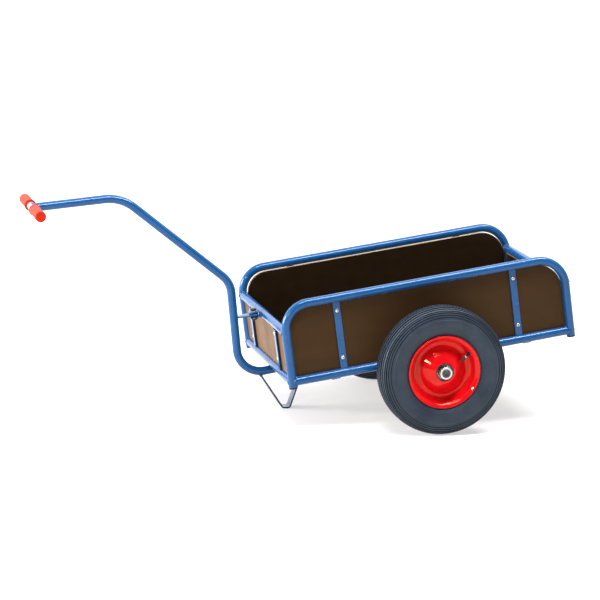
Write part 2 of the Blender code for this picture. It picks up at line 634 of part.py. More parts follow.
rail_face = -HALF_LENGTH - TUBE_R - GAP
ear_x = PIVOT_X - SLEEVE_R - 0.0015
upper_ear = SLEEVE_Z1 + GAP
lower_ear = SLEEVE_Z0 - GAP
back = rail_face - 0.0040
clevis = prism("drawbar_clevis",
               [(ear_x, upper_ear), (ear_x, upper_ear + CLEVIS_T),
                (rail_face, upper_ear + CLEVIS_T), (rail_face, lower_ear - CLEVIS_T),
                (ear_x, lower_ear - CLEVIS_T), (ear_x, lower_ear),
                (back, lower_ear), (back, upper_ear)],
               "Y", -0.0170, 0.0170, BLUE, smooth_angle=0)
boolean(clevis, pivot_hole, "DIFFERENCE")
top = upper_ear + CLEVIS_T + GAP
low = lower_ear - CLEVIS_T - GAP
# washer under the head, shank and washer over the nut, turned in one piece
pin = turned("pivot_bolt", [(0, top + WASHER_T), (WASHER_R, top + WASHER_T), (WASHER_R, top),
                            (PIVOT_BOLT_R, top), (PIVOT_BOLT_R, low), (WASHER_R, low),
                            (WASHER_R, low - WASHER_T), (PIVOT_BOLT_R, low - WASHER_T),
                            (PIVOT_BOLT_R, low - 0.0085), (0, low - 0.0085)],
             (PIVOT_X, 0, 0), ZINC, sides=20, axis="Z")
for label, z0, z1 in (("head", top + 0.0012, top + 0.0084), ("nut", low - 0.0070, low - 0.0012)):
    bm = bmesh.new()
    hex_prism(bm, 0.0098, z0, z1, PIVOT_X, 0.0)
    boolean(pin, cutter(finish(bm, f"pivot_{label}", ZINC, None)), "UNION")


# ------------------------------------------------------------------ stand
def strip(path, thickness):
    """Outline of a flat bar seen edge-on along a path."""
    left, right = [], []
    for i, p in enumerate(path):
        before = (p - path[i - 1]).normalized() if i else None
        after = (path[i + 1] - p).normalized() if i < len(path) - 1 else None
        t = (before + after).normalized() if before and after else (before or after)
        n = Vector((-t.y, t.x)) * thickness / 2
        left.append((p.x + n.x, p.y + n.y))
        right.append((p.x - n.x, p.y - n.y))
    return left + right[::-1]


foot_dir = Vector((STAND_FOOT_B[0] - STAND_FOOT_A[0], STAND_FOOT_B[1] - STAND_FOOT_A[1]))
stand_path = fillet([STAND_FRONT, STAND_FOOT_A, STAND_FOOT_B, STAND_REAR],
                    [STAND_BEND_R, STAND_BEND_R], 6)
prism("stand", strip(stand_path, STAND_T), "Y", -STAND_W / 2, STAND_W / 2, BLUE, smooth_angle=50)

# ------------------------------------------------------------------ T handle
tube_rod("handle_crossbar", (HANDLE_X, -HANDLE_HALF, HANDLE_Z), (HANDLE_X, HANDLE_HALF, HANDLE_Z),
         HANDLE_R, 0.002, ZINC, sides=20)
for side, s in (("left", -1), ("right", 1)):
    bore = HANDLE_R + GAP
    prof = [(0, GRIP_OUT), (GRIP_R - 0.0020, GRIP_OUT), (GRIP_R, GRIP_OUT - 0.0020),
            (GRIP_R, GRIP_IN + 0.0055), (GRIP_R + 0.0016, GRIP_IN + 0.0045),
            (GRIP_R + 0.0016, GRIP_IN), (bore, GRIP_IN),
            (bore, HANDLE_HALF + GAP), (0, HANDLE_HALF + GAP)]
    turned(f"grip_{side}", [(r, s * y) for r, y in prof], (HANDLE_X, 0, HANDLE_Z), GRIP, sides=24)

# ------------------------------------------------------------------ standing pose and origin
# The stand's sole is the line through both foot corners, half the bar's thickness lower.
foot_n = Vector((foot_dir.y, -foot_dir.x)).normalized() * (STAND_T / 2)
sole = Vector(STAND_FOOT_A) * 0.5 + Vector(STAND_FOOT_B) * 0.5 + foot_n
reach = math.hypot(sole.x, sole.y)
LEAN = math.asin(WHEEL_R / reach) - math.atan2(-sole.y, -sole.x)


def leaned(x, z):
    return x * math.cos(LEAN) - z * math.sin(LEAN)


front_most = leaned(HANDLE_X, HANDLE_Z) - (GRIP_R + 0.0016)
rear_most = leaned(HALF_LENGTH + TUBE_R, LEG_END_Z - GAP - 0.0038)
CENTRE_X = -(front_most + rear_most) / 2

cart = bpy.data.objects.new("cart", None)
bpy.context.scene.collection.objects.link(cart)
cart.location = (CENTRE_X, 0.0, WHEEL_R)
cart.rotation_euler = (0.0, -LEAN, 0.0)
for ob in CART:
    ob.parent = cart
for side, s in (("left", -1), ("right", 1)):
    hub_axis = bpy.data.objects.new(f"wheel_axis_{side}", None)
    bpy.context.scene.collection.objects.link(hub_axis)
    hub_axis.parent = cart
    hub_axis.location = (0.0, s * TRACK_HALF, 0.0)
    for ob in WHEELS[side]:
        ob.parent = hub_axis
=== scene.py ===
"""Looks of the garden cart: finer shapes, welds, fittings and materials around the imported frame.

The cart leans on its stand, so every piece is made in the cart's own level frame, with the axle
centre as zero, +X to the rear and +Z up, and its object's matrix then leans it.  Object texture
coordinates are therefore the cart's own, in metres.  The wheels' pieces are centred on the wheels.
"""
import json
from math import copysign, cos, pi, radians, sin, sqrt, tan

import bmesh
import bpy
from mathutils import Matrix, Vector


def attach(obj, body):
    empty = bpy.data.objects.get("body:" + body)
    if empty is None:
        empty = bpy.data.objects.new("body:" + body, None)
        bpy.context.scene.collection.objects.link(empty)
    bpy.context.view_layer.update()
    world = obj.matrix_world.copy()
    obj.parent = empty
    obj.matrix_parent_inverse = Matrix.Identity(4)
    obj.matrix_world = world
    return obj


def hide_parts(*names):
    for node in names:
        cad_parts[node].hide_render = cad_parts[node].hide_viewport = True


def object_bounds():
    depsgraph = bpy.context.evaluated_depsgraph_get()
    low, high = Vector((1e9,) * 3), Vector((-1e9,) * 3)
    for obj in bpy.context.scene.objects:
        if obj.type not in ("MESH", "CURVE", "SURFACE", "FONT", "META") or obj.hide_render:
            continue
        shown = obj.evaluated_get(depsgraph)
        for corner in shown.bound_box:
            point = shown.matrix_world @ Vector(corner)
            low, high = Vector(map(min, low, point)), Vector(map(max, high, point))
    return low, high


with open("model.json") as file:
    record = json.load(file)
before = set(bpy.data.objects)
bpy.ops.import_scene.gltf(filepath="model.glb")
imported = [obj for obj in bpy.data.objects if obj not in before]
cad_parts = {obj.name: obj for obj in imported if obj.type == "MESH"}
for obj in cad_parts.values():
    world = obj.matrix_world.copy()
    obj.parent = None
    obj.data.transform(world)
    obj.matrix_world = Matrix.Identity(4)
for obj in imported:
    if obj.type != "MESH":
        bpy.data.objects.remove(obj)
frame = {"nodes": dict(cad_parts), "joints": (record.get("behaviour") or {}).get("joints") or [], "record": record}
cad_low, cad_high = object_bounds()

# ------------ the cart's own frame
record = frame["record"]
floor_axis = next(m["axis"] for m in record["mounts"] if m["name"] == "cargo_floor")
axle_place = frame["joints"][0]["pos_m"]
TRACK_HALF = abs(axle_place[1])
CART = Matrix(((floor_axis[2], 0, floor_axis[0], axle_place[0]), (0, 1, 0, 0),
               (-floor_axis[0], 0, floor_axis[2], axle_place[2]), (0, 0, 0, 1)))
SIDES = (("left", -1), ("right", 1))
ENDS = (("front", -1), ("rear", 1))
WHEEL = {side: CART @ Matrix.Translation((0, s * TRACK_HALF, 0)) for side, s in SIDES}


def span(node, matrix=CART):
    """Lowest and highest corner of a CAD node in the cart's level frame."""
    back = matrix.inverted()
    points = [back @ v.co for v in frame["nodes"][node].data.vertices]
    return (Vector([min(p[i] for p in points) for i in range(3)]),
            Vector([max(p[i] for p in points) for i in range(3)]))


# ------------ sizes read from the frame
frame_lo, frame_hi = span("side_frame_left")
TUBE_R = (frame_hi.y - frame_lo.y) / 2
HALF_LENGTH = frame_hi.x - TUBE_R
HALF_WIDTH = -(frame_hi.y + frame_lo.y) / 2
TOP_Z = frame_hi.z - TUBE_R
LEG_END_Z = frame_lo.z
FRONT_BEND_R = 0.078
REAR_BEND_R = 0.088
rail_lo, rail_hi = span("side_rail_left")
LOW_Z = (rail_lo.z + rail_hi.z) / 2
cross_lo, cross_hi = span("front_rail_upper")
CROSS_Z = (cross_lo.z + cross_hi.z) / 2
bar_lo, bar_hi = span("handle_crossbar")
HANDLE = Vector(((bar_lo.x + bar_hi.x) / 2, 0, (bar_lo.z + bar_hi.z) / 2))
HANDLE_R = (bar_hi.z - bar_lo.z) / 2
HANDLE_HALF = bar_hi.y
WHEEL_R = axle_place[2]
axle_hi = span("axle")[1]
AXLE_R = axle_hi.z
AXLE_END = axle_hi.y
FACETS = 40                  # sides of a round tube

# corners of the drawbar's centre line, X and Z, as in the CAD model
DRAW_NECK = (-0.846, 0.6255)
DRAW_ELBOW = (-0.5432, 0.3003)
DRAW_HEEL = (-0.5550, -0.0010)
DRAW_BENDS = (0.130, 0.080, 0.078)
DRAW_ROUND_X = -0.349
DRAW_FLAT_X = -0.330
PIVOT_X = -0.482
ANCHOR_X = -0.3095
STAND_CORNERS = ((-0.4865, -0.0159), (-0.4340, -0.1268), (-0.4115, -0.1306), (-0.3530, -0.0160))


# ------------ material helpers
def feed(mat, socket, value):
    """Link a socket, or set it to a plain number or colour."""
    if isinstance(value, bpy.types.NodeSocket):
        mat.node_tree.links.new(value, socket)
    else:
        socket.default_value = (*value, 1.0) if socket.type == "RGBA" else value


def new_node(mat, kind, **inputs):
    """A node; extra keywords name its sockets with underscores."""
    node = mat.node_tree.nodes.new("ShaderNode" + kind)
    for key, value in inputs.items():
        feed(mat, node.inputs[key.replace("_", " ")], value)
    return node


def shader_socket(mat, name):
    return mat.node_tree.nodes["Principled BSDF"].inputs[name]


def plug(mat, value, name):
    feed(mat, shader_socket(mat, name), value)


def new_material(name, colour, roughness, metallic=0.0, **sockets):
    """A Principled material; extra keywords name its sockets with underscores."""
    mat = bpy.data.materials.new(name)
    mat.use_nodes = True
    for key, value in {"Base_Color": colour, "Roughness": roughness, "Metallic": metallic, **sockets}.items():
        plug(mat, value, key.replace("_", " "))
    mat.diffuse_color = (*colour, 1.0)
    return mat


def tinted(colour, tint):
    return tuple(tint * c for c in colour)


def coordinates(mat, stretch=(1, 1, 1)):
    """Object coordinates, stretched along the axes."""
    place = new_node(mat, "TexCoord").outputs["Object"]
    return new_node(mat, "Mapping", Vector=place, Scale=stretch).outputs["Vector"]


def noise(mat, scale, detail=4.0, roughness=0.55, stretch=(1, 1, 1), distortion=0.0):
    return new_node(mat, "TexNoise", Vector=coordinates(mat, stretch), Scale=scale, Detail=detail,
                    Roughness=roughness, Distortion=distortion).outputs["Fac"]


def wave(mat, axis, scale, distortion=0.0):
    """Bands across one axis."""
    node = new_node(mat, "TexWave", Vector=coordinates(mat), Scale=scale, Distortion=distortion)
    node.bands_direction = axis
    return node.outputs["Fac"]


def ramp(mat, fac, stops):
    """Colour ramp with (position, colour) stops."""
    node = new_node(mat, "ValToRGB", Fac=fac)
    elements = node.color_ramp.elements
    while len(elements) < len(stops):
        elements.new(0.5)
    for element, (position, colour) in zip(elements, stops):
        element.position = position
        element.color = (*colour, 1.0)
    return node.outputs["Color"]


def level(mat, fac, low, high, start=0.3, stop=0.7, interpolation="LINEAR"):
    """Map a factor between start and stop to a value between low and high."""
    node = new_node(mat, "MapRange", Value=fac, From_Min=start, From_Max=stop, To_Min=low, To_Max=high)
    node.interpolation_type = interpolation
    return node.outputs["Result"]


def mix(mat, fac, a, b):
    """Mix two colours; each is a socket or a plain colour."""
    node = new_node(mat, "Mix")
    node.data_type = "RGBA"
    # a mix node has its colours at 6 and 7, after the sockets for numbers and vectors
    for index, value in ((0, fac), (6, a), (7, b)):
        feed(mat, node.inputs[index], value)
    return node.outputs[2]


def product(mat, a, b):
    node = new_node(mat, "Math")
    node.operation = "MULTIPLY"
    feed(mat, node.inputs[0], a)
    feed(mat, node.inputs[1], b)
    return node.outputs[0]


def base_colour(mat):
    return shader_socket(mat, "Base Color").links[0].from_socket


def speckle(mat, settings, limits, colour):
    """Mix a second colour into the base colour, by a noise that level() maps to its limits."""
    share = level(mat, noise(mat, *settings), *limits)
    plug(mat, mix(mat, share, base_colour(mat), colour), "Base Color")


def bump(mat, height, strength, distance):
    """Add a height to the surface, on top of any bump that is already there."""
    normal = shader_socket(mat, "Normal")
    node = new_node(mat, "Bump", Height=height, Strength=strength, Distance=distance)
    if normal.is_linked:
        feed(mat, node.inputs["Normal"], normal.links[0].from_socket)
    feed(mat, normal, node.outputs["Normal"])


def finish(name, colour, roughness, tone, gloss, relief=None, metallic=0.0, tint=1.0, **sockets):
    """A material whose tone, roughness and relief each follow a noise.

    tone is the settings of its noise and colour stops, gloss is scale, detail, low and high, and
    relief is strength, distance and the settings of its noise.
    """
    mat = new_material(name, tinted(colour, tint), roughness, metallic, **sockets)
    settings, *stops = tone
    stops = [(position, tinted(stop, tint)) for position, stop in stops]
    plug(mat, ramp(mat, noise(mat, *settings), stops), "Base Color")
    scale, detail, low, high = gloss
    plug(mat, level(mat, noise(mat, scale, detail), low, high), "Roughness")
    if relief:
        strength, distance, *settings = relief
        bump(mat, noise(mat, *settings), strength, distance)
    return mat


# ------------ materials
def blue_paint(name="blue_powder_coat"):
    """Gloss powder coat with a fine orange peel and a breath of dust."""
    mat = finish(name, (0.007, 0.070, 0.210), 0.20,
                 tone=((9.0, 3.0), (0.30, (0.0040, 0.050, 0.158)), (0.70, (0.0064, 0.062, 0.188))),
                 gloss=(38.0, 5.0, 0.17, 0.30), relief=(0.10, 0.0006, 420.0, 2.0, 0.4), Coat_Weight=0.30,
                 Coat_Roughness=0.03, Specular_IOR_Level=0.30, Specular_Tint=(0.55, 0.78, 1.0))
    speckle(mat, (900.0, 2.0), (0.0, 0.35, 0.66, 0.78), (0.014, 0.095, 0.250))
    return mat


def worn_blue_paint():
    """The same coat on the stand, rubbed through to bare steel along the sole."""
    mat = blue_paint("blue_powder_coat_worn")
    sole = STAND_CORNERS[1][1]
    height = new_node(mat, "SeparateXYZ", Vector=coordinates(mat)).outputs["Z"]
    low = level(mat, height, 1.0, 0.0, sole - 0.003, sole + 0.012)
    ragged = product(mat, low, level(mat, noise(mat, 160.0, 6.0), 0.0, 1.6, 0.38, 0.62))
    mask = level(mat, ragged, 0.0, 1.0, 0.45, 0.60)
    plug(mat, mix(mat, mask, base_colour(mat), (0.20, 0.20, 0.21)), "Base Color")
    plug(mat, mask, "Metallic")
    return mat


def edge_paint_painted_shade():
    """Sheared edges of the flat bars and the stand, darkened to navy: painted shade on narrow faces that turn away
    from the light.
    """
    return finish("edge_paint_painted_shade", (0.006, 0.012, 0.034), 0.34,
                  tone=((120.0, 4.0), (0.35, (0.004, 0.008, 0.022)), (0.70, (0.009, 0.024, 0.070))),
                  gloss=(200.0, 4.0, 0.28, 0.48),
                  relief=(0.15, 0.0003, 600.0, 3.0, 0.55, (1.0, 1.0, 0.2)), Specular_IOR_Level=0.3)


def red_enamel():
    """High gloss wheel enamel with slow runs of thickness and fine dust nibs."""
    return finish("red_wheel_enamel", (0.560, 0.003, 0.007), 0.13,
                  tone=((14.0, 3.0), (0.30, (0.51, 0.0020, 0.006)), (0.72, (0.60, 0.004, 0.007))),
                  gloss=(45.0, 4.0, 0.06, 0.12), relief=(0.10, 0.0005, 130.0, 2.0, 0.4),
                  Coat_Weight=0.10, Coat_Roughness=0.03, Specular_Tint=(1.0, 0.36, 0.16))


def zinc_plate(name, tint):
    """Bright zinc plate with a cool to straw-coloured passivation and fine drawing lines."""
    return finish(name, (0.78, 0.79, 0.80), 0.30,
                  tone=((60.0, 4.0, 0.55, (1, 1, 1), 0.6), (0.28, (0.70, 0.73, 0.79)),
                        (0.52, (0.82, 0.82, 0.82)), (0.76, (0.83, 0.79, 0.69))),
                  gloss=(240.0, 5.0, 0.20, 0.42),
                  relief=(0.10, 0.0003, 500.0, 3.0, 0.55, (1.0, 0.12, 1.0)), metallic=1.0, tint=tint)


def bright_steel():
    """Ground bearing steel with an oil film."""
    return finish("ground_steel", (0.42, 0.42, 0.43), 0.22,
                  tone=((120.0, 4.0), (0.30, (0.30, 0.30, 0.31)), (0.70, (0.52, 0.52, 0.52))),
                  gloss=(350.0, 3.0, 0.14, 0.34),
                  relief=(0.08, 0.0002, 700.0, 2.0, 0.55, (1.0, 6.0, 1.0)), metallic=1.0)


def dark_steel():
    """Sawn and blackened end of the axle."""
    return finish("blackened_steel", (0.045, 0.050, 0.052), 0.42,
                  tone=((180.0, 5.0), (0.30, (0.020, 0.024, 0.026)), (0.72, (0.105, 0.115, 0.115))),
                  gloss=(260.0, 4.0, 0.32, 0.58),
                  relief=(0.25, 0.0004, 650.0, 3.0, 0.55, (1.0, 1.0, 0.15)), metallic=0.85)


def tyre_rubber(name, tint):
    """Blue-grey rubber with a bloom, mould marks and a fine grain."""
    mat = finish(name, (0.026, 0.034, 0.050), 0.50,
                 tone=((16.0, 5.0), (0.30, (0.012, 0.017, 0.027)), (0.70, (0.024, 0.032, 0.047))),
                 gloss=(60.0, 4.0, 0.42, 0.62), relief=(0.22, 0.0004, 900.0, 4.0), tint=tint,
                 Specular_IOR_Level=0.36 * tint, Specular_Tint=(0.75, 0.90, 1.0))
    speckle(mat, (240.0, 6.0), (0.0, 0.40, 0.55, 0.80), tinted((0.042, 0.050, 0.060), tint))
    bump(mat, noise(mat, 70.0, 3.0), 0.10, 0.0010)
    return mat


def black_plastic(name, base):
    """Moulded black plastic or rubber with a fine grain."""
    return finish(name, base, 0.42, tone=((150.0, 4.0), (0.35, base), (0.75, tinted(base, 2.2))),
                  gloss=(90.0, 4.0, 0.30, 0.48), relief=(0.16, 0.0003, 1200.0, 2.0),
                  Specular_IOR_Level=0.25)


def grip_plastic():
    """Soft red grip plastic with a leathery grain and a little bloom."""
    mat = finish("red_grip_plastic", (0.50, 0.010, 0.007), 0.56,
                 tone=((40.0, 4.0), (0.30, (0.36, 0.010, 0.0030)), (0.72, (0.46, 0.019, 0.0050))),
                 gloss=(130.0, 4.0, 0.46, 0.62), Specular_IOR_Level=0.12,
                 Specular_Tint=(1.0, 0.55, 0.30), Sheen_Weight=0.10, Sheen_Tint=(1.0, 0.62, 0.45))
    cells = new_node(mat, "TexVoronoi", Vector=coordinates(mat), Scale=650.0)
    bump(mat, cells.outputs["Distance"], 0.16, 0.0004)
    return mat


def plywood_film(name, stretch, tint=1.0, sheen=0.12, mesh_print=False):
    """Brown phenolic film: the veneer's grain shows through as faint streaks."""
    streaks = (34.0, 6.0, 0.62, stretch, 0.5)
    mat = finish(name, (0.040, 0.019, 0.007), 0.36,
                 tone=(streaks, (0.20, (0.023, 0.0110, 0.0036)), (0.50, (0.027, 0.0130, 0.0044)),
                       (0.82, (0.033, 0.0165, 0.0060))),
                 gloss=(28.0, 4.0, 0.44, 0.58), relief=(0.05, 0.0004, *streaks), tint=tint,
                 Specular_IOR_Level=0.22, Specular_Tint=(1.0, 0.66, 0.40), Sheen_Weight=sheen,
                 Sheen_Tint=(1.0, 0.58, 0.32))
    speckle(mat, (5.0, 3.0), (0.0, 0.45), tinted((0.031, 0.0155, 0.0056), tint))
    if mesh_print:
        for axis in "XY":
            bump(mat, level(mat, wave(mat, axis, 62.0), 0.0, 1.0, 0.80, 1.0), 0.35, 0.0005)
    else:
        bump(mat, noise(mat, 800.0, 2.0), 0.05, 0.0003)
    return mat


def plywood_edge(name, axis):
    """Cut edge of birch plywood: thin layers across the sheet, pale with darker cross layers."""
    mat = new_material(name, (0.52, 0.36, 0.21), 0.62)
    layers = wave(mat, axis, 170.0, 0.6)
    tone = ramp(mat, layers, [(0.20, (0.20, 0.120, 0.060)), (0.50, (0.34, 0.22, 0.125)),
                              (0.82, (0.48, 0.35, 0.22))])
    fibre = level(mat, noise(mat, 420.0, 4.0), 0.0, 0.5)
    plug(mat, mix(mat, fibre, tone, (0.40, 0.27, 0.15)), "Base Color")
    bump(mat, layers, 0.35, 0.0004)
    return mat


BLUE = blue_paint()
WORN_BLUE = worn_blue_paint()
# near-black navy for the narrow edges of bars and stand: painted shade
EDGE_SHADE = edge_paint_painted_shade()
RED = red_enamel()
ZINC = zinc_plate("zinc_plate", 0.66)
DULL = zinc_plate("dull_zinc_plate", 0.85)
STEEL = bright_steel()
DARK = dark_steel()
TYRE = tyre_rubber("tyre_rubber", 1.0)
# darker copy of the rubber for grooves and sunken rings: painted shade in the recesses
GROOVE_SHADE = tyre_rubber("tyre_groove_painted_shade", 0.22)
BLACK = black_plastic("black_plastic", (0.007, 0.008, 0.010))
SEAL = black_plastic("seal_rubber", (0.006, 0.006, 0.007))
GRIP = grip_plastic()
GRAIN_ALONG_X = (0.10, 1.0, 1.0)
GRAIN_ALONG_Y = (1.0, 0.10, 1.0)
# the end film is a brighter copy, tint 1.7, painted light where the ends face the left lamp
FILM = {"Y": plywood_film("plywood_film_side", GRAIN_ALONG_X),
        "X": plywood_film("plywood_film_end", GRAIN_ALONG_Y, 1.7, 0.36),
        "Z": plywood_film("plywood_film_floor", GRAIN_ALONG_X, 0.45)}
# inside copies of the side and end film are darker: painted shade of the box's interior
INNER = {"Y": plywood_film("plywood_inside_side_painted_shade", GRAIN_ALONG_X, 0.28, 0.02),
         "X": plywood_film("plywood_inside_end_painted_shade", GRAIN_ALONG_Y, 0.20, 0.0),
         "Z": plywood_film("plywood_mesh_floor", GRAIN_ALONG_X, 0.45, 0.02, True)}
EDGE = {axis: plywood_edge(f"plywood_edge_{axis.lower()}", axis) for axis in "XYZ"}


# ------------ mesh helpers
def new_object(name, data):
    ob = bpy.data.objects.new(name, data)
    bpy.context.scene.collection.objects.link(ob)
    return ob


def add(bm, name, materials, node=None, wheel=None, place=None, smooth_angle=38):
    """Turn a bmesh into a finished piece that rides on the cart, or on the wheel of one side."""
    bmesh.ops.remove_doubles(bm, verts=bm.verts, dist=2e-6)
    bmesh.ops.recalc_face_normals(bm, faces=bm.faces)
    mesh = bpy.data.meshes.new(name)
    bm.to_mesh(mesh)
    bm.free()
    for mat in materials if isinstance(materials, list) else [materials]:
        mesh.materials.append(mat)
    mesh.shade_smooth()
    mesh.set_sharp_from_angle(angle=radians(smooth_angle))
    piece = new_object(name, mesh)
    if place is None:
        place = WHEEL[wheel] if wheel else CART
    piece.matrix_world = place
    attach(piece, f"wheel_{wheel}" if wheel else "cart")
    if node:
        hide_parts(node)


def arc_corner(before, corner, after, radius, steps):
    """Points that round one corner of an outline."""
    u, v = (before - corner), (after - corner)
    lu, lv = u.length, v.length
    u, v = u / lu, v / lv
    half = u.angle(v) / 2
    if half > pi / 2 - 0.02 or radius <= 0:
        return [corner]
    reach = min(radius / tan(half), 0.47 * lu, 0.47 * lv)
    radius = reach * tan(half)
    centre = corner + (u + v).normalized() * (radius / sin(half))
    start, stop = corner + u * reach - centre, corner + v * reach - centre
    turn = -start.angle_signed(stop)
    points = []
    for k in range(steps + 1):
        c, s = cos(turn * k / steps), sin(turn * k / steps)
        points.append(centre + Vector((start.x * c - start.y * s, start.x * s + start.y * c)))
    return points


def soften(points, radius, steps=4):
    """Round the corners of an outline. Radius is one number or one for each point, with 0 at open ends."""
    pts = [Vector(p) for p in points]
    radii = radius if isinstance(radius, (list, tuple)) else [radius] * len(pts)
    out = []
    for i, p in enumerate(pts):
        out += arc_corner(pts[i - 1], p, pts[(i + 1) % len(pts)], radii[i], steps)
    return out


def rectangle(x0, z0, x1, z1):
    return [Vector((x0, z0)), Vector((x1, z0)), Vector((x1, z1)), Vector((x0, z1))]


def angles(count):
    """One full turn in equal steps."""
    return [2 * pi * k / count for k in range(count)]


def skin(bm, rings, loop=False, caps=True):
    """Faces between neighbouring rings of vertices, and over the first and the last ring.

    A ring may be a single vertex.
    """
    steps = max(len(ring) for ring in rings)
    for a, b in list(zip(rings, rings[1:])) + ([(rings[-1], rings[0])] if loop else []):
        for k in range(steps):
            m = (k + 1) % steps
            corners = dict.fromkeys((a[k % len(a)], a[m % len(a)], b[m % len(b)], b[k % len(b)]))
            if len(corners) > 2:
                bm.faces.new(list(corners))
    if caps and not loop:
        bm.faces.new(rings[0])
        bm.faces.new(rings[-1])


def plate(bm, outline, axis, low, high, edge=0.0):
    """Extrude an outline along one axis and break its outer edges by a small chamfer."""
    def at(p, depth, shrink):
        x, y = p.x - shrink.x, p.y - shrink.y
        return {"X": (depth, x, y), "Y": (x, depth, y), "Z": (x, y, depth)}[axis]
    following = outline[1:] + outline[:1]
    area = sum(p.x * q.y - q.x * p.y for p, q in zip(outline, following))
    turn = 1.0 if area > 0 else -1.0
    shrinks = []
    for before, p, after in zip(outline[-1:] + outline[:-1], outline, following):
        t1, t2 = (p - before).normalized(), (after - p).normalized()
        n1, n2 = Vector((t1.y, -t1.x)) * turn, Vector((t2.y, -t2.x)) * turn
        shrinks.append((n1 + n2) * (edge / max(1e-9, 1 + n1.dot(n2))))
    zero = Vector((0, 0))
    layers = [(low, True), (low + edge, False), (high - edge, False), (high, True)] if edge else \
        [(low, False), (high, False)]
    skin(bm, [[bm.verts.new(at(p, d, s if inset else zero)) for p, s in zip(outline, shrinks)]
              for d, inset in layers])


def lathe(bm, profile, steps, axis="Y", centre=(0, 0, 0), ripple=None):
    """Turn (radius, offset) points about an axis. A profile that starts on the axis is left open."""
    def at(r, h, a):
        c, s = r * cos(a), r * sin(a)
        p = {"X": (h, c, s), "Y": (c, h, s), "Z": (c, s, h)}[axis]
        return Vector(p) + Vector(centre)
    rings = []
    for j, (r, h) in enumerate(profile):
        if r < 1e-7:
            rings.append([bm.verts.new(at(0, h, 0))])
        else:
            rings.append([bm.verts.new(at(r + (ripple(j, k) if ripple else 0.0), h, a))
                          for k, a in enumerate(angles(steps))])
    skin(bm, rings, profile[0][0] > 0, caps=False)


def sweep(bm, path, radius=None, sides=FACETS, loop=False, section=None):
    """Skin round sections along a path of points, carried along without twist.

    The radius may be a function of the step, and a section a function of step and angle.
    """
    pts = [Vector(p) for p in path]
    n = len(pts)

    def tangent(i):
        a = pts[i - 1] if (loop or i) else pts[0]
        b = pts[(i + 1) % n] if (loop or i < n - 1) else pts[-1]
        return (b - a).normalized()
    side = Vector((0, 1, 0)) if abs(tangent(0).y) < 0.9 else Vector((1, 0, 0))
    rings = []
    for i in range(n):
        t = tangent(i)
        side = (side - t * side.dot(t)).normalized()
        other = t.cross(side)
        ring = []
        for a in angles(sides):
            if section:
                u, v = section(i, a)
            else:
                r = radius(i) if callable(radius) else radius
                u, v = r * cos(a), r * sin(a)
            ring.append(bm.verts.new(pts[i] + side * u + other * v))
        rings.append(ring)
    skin(bm, rings, loop)


def bead(bm, path, radius=0.0020, loop=True, pitch=0.0024):
    """Weld bead along a path, with the small overlapping ripples of a hand-laid weld."""
    pts = [Vector(p) for p in path]
    ends = pts + [pts[0]] if loop else pts
    length = sum((b - a).length for a, b in zip(ends, ends[1:]))
    count = max(8, int(length / pitch) * 4)
    fine, want, run, i = [], 0.0, 0.0, 0
    step = length / count
    while len(fine) < count and i < len(ends) - 1:
        a, b = ends[i], ends[i + 1]
        seg = (b - a).length
        while want <= run + seg + 1e-12 and len(fine) < count:
            fine.append(a.lerp(b, (want - run) / seg if seg else 0))
            want += step
        run += seg
        i += 1

    def swell(k):
        return radius * (1.0 + 0.16 * sin(2 * pi * k / 4.0) + 0.08 * sin(k * 0.61))
    sweep(bm, fine, swell, 8, loop=loop)


def tube_joint(centre, along, across, radius, host_radius):
    """Curve where a round tube along one axis meets another round tube across it."""
    c, d, w = Vector(centre), Vector(along), Vector(across)
    third = d.cross(w)
    out = []
    for a in angles(72):
        u, v = radius * cos(a), radius * sin(a)
        reach = sqrt(max(host_radius ** 2 - v * v, 0.0))
        out.append(c + w * u + third * v + d * reach)
    return out


def flat(outline, axis, low, high, edge=0.0):
    """A new mesh that holds one plate."""
    bm = bmesh.new()
    plate(bm, outline, axis, low, high, edge)
    return bm


def turned(profile, steps, axis="Y", centre=(0, 0, 0), ripple=None):
    """A new mesh that holds one turned profile."""
    bm = bmesh.new()
    lathe(bm, profile, steps, axis, centre, ripple)
    return bm


def flipped(points, s):
    """An outline for the left (s = -1) or the right side."""
    return [(p.x, s * p.y) for p in points]


# ------------ frame tubes
def side_frame(side, s):
    path = soften([(-HALF_LENGTH, LEG_END_Z), (-HALF_LENGTH, TOP_Z), (HALF_LENGTH, TOP_Z),
                   (HALF_LENGTH, LEG_END_Z)], [0, FRONT_BEND_R, REAR_BEND_R, 0], 22)
    bm = bmesh.new()
    sweep(bm, [(p.x, s * HALF_WIDTH, p.y) for p in path], TUBE_R)
    add(bm, f"bent_frame_tube_{side}", BLUE, f"side_frame_{side}")


def straight_tube(name, node, a, b, steps=12):
    bm = bmesh.new()
    sweep(bm, [Vector(a).lerp(Vector(b), k / steps) for k in range(steps + 1)], TUBE_R)
    add(bm, name, BLUE, node)


def rails():
    for side, s in SIDES:
        y = s * HALF_WIDTH
        straight_tube(f"lower_side_tube_{side}", f"side_rail_{side}", (-HALF_LENGTH, y, LOW_Z),
                      (HALF_LENGTH, y, LOW_Z))
    for end, e in ENDS:
        for height, z in (("upper", CROSS_Z), ("lower", LOW_Z)):
            x = e * HALF_LENGTH
            straight_tube(f"{end}_cross_tube_{height}", f"{end}_rail_{height}", (x, -HALF_WIDTH, z),
                          (x, HALF_WIDTH, z))


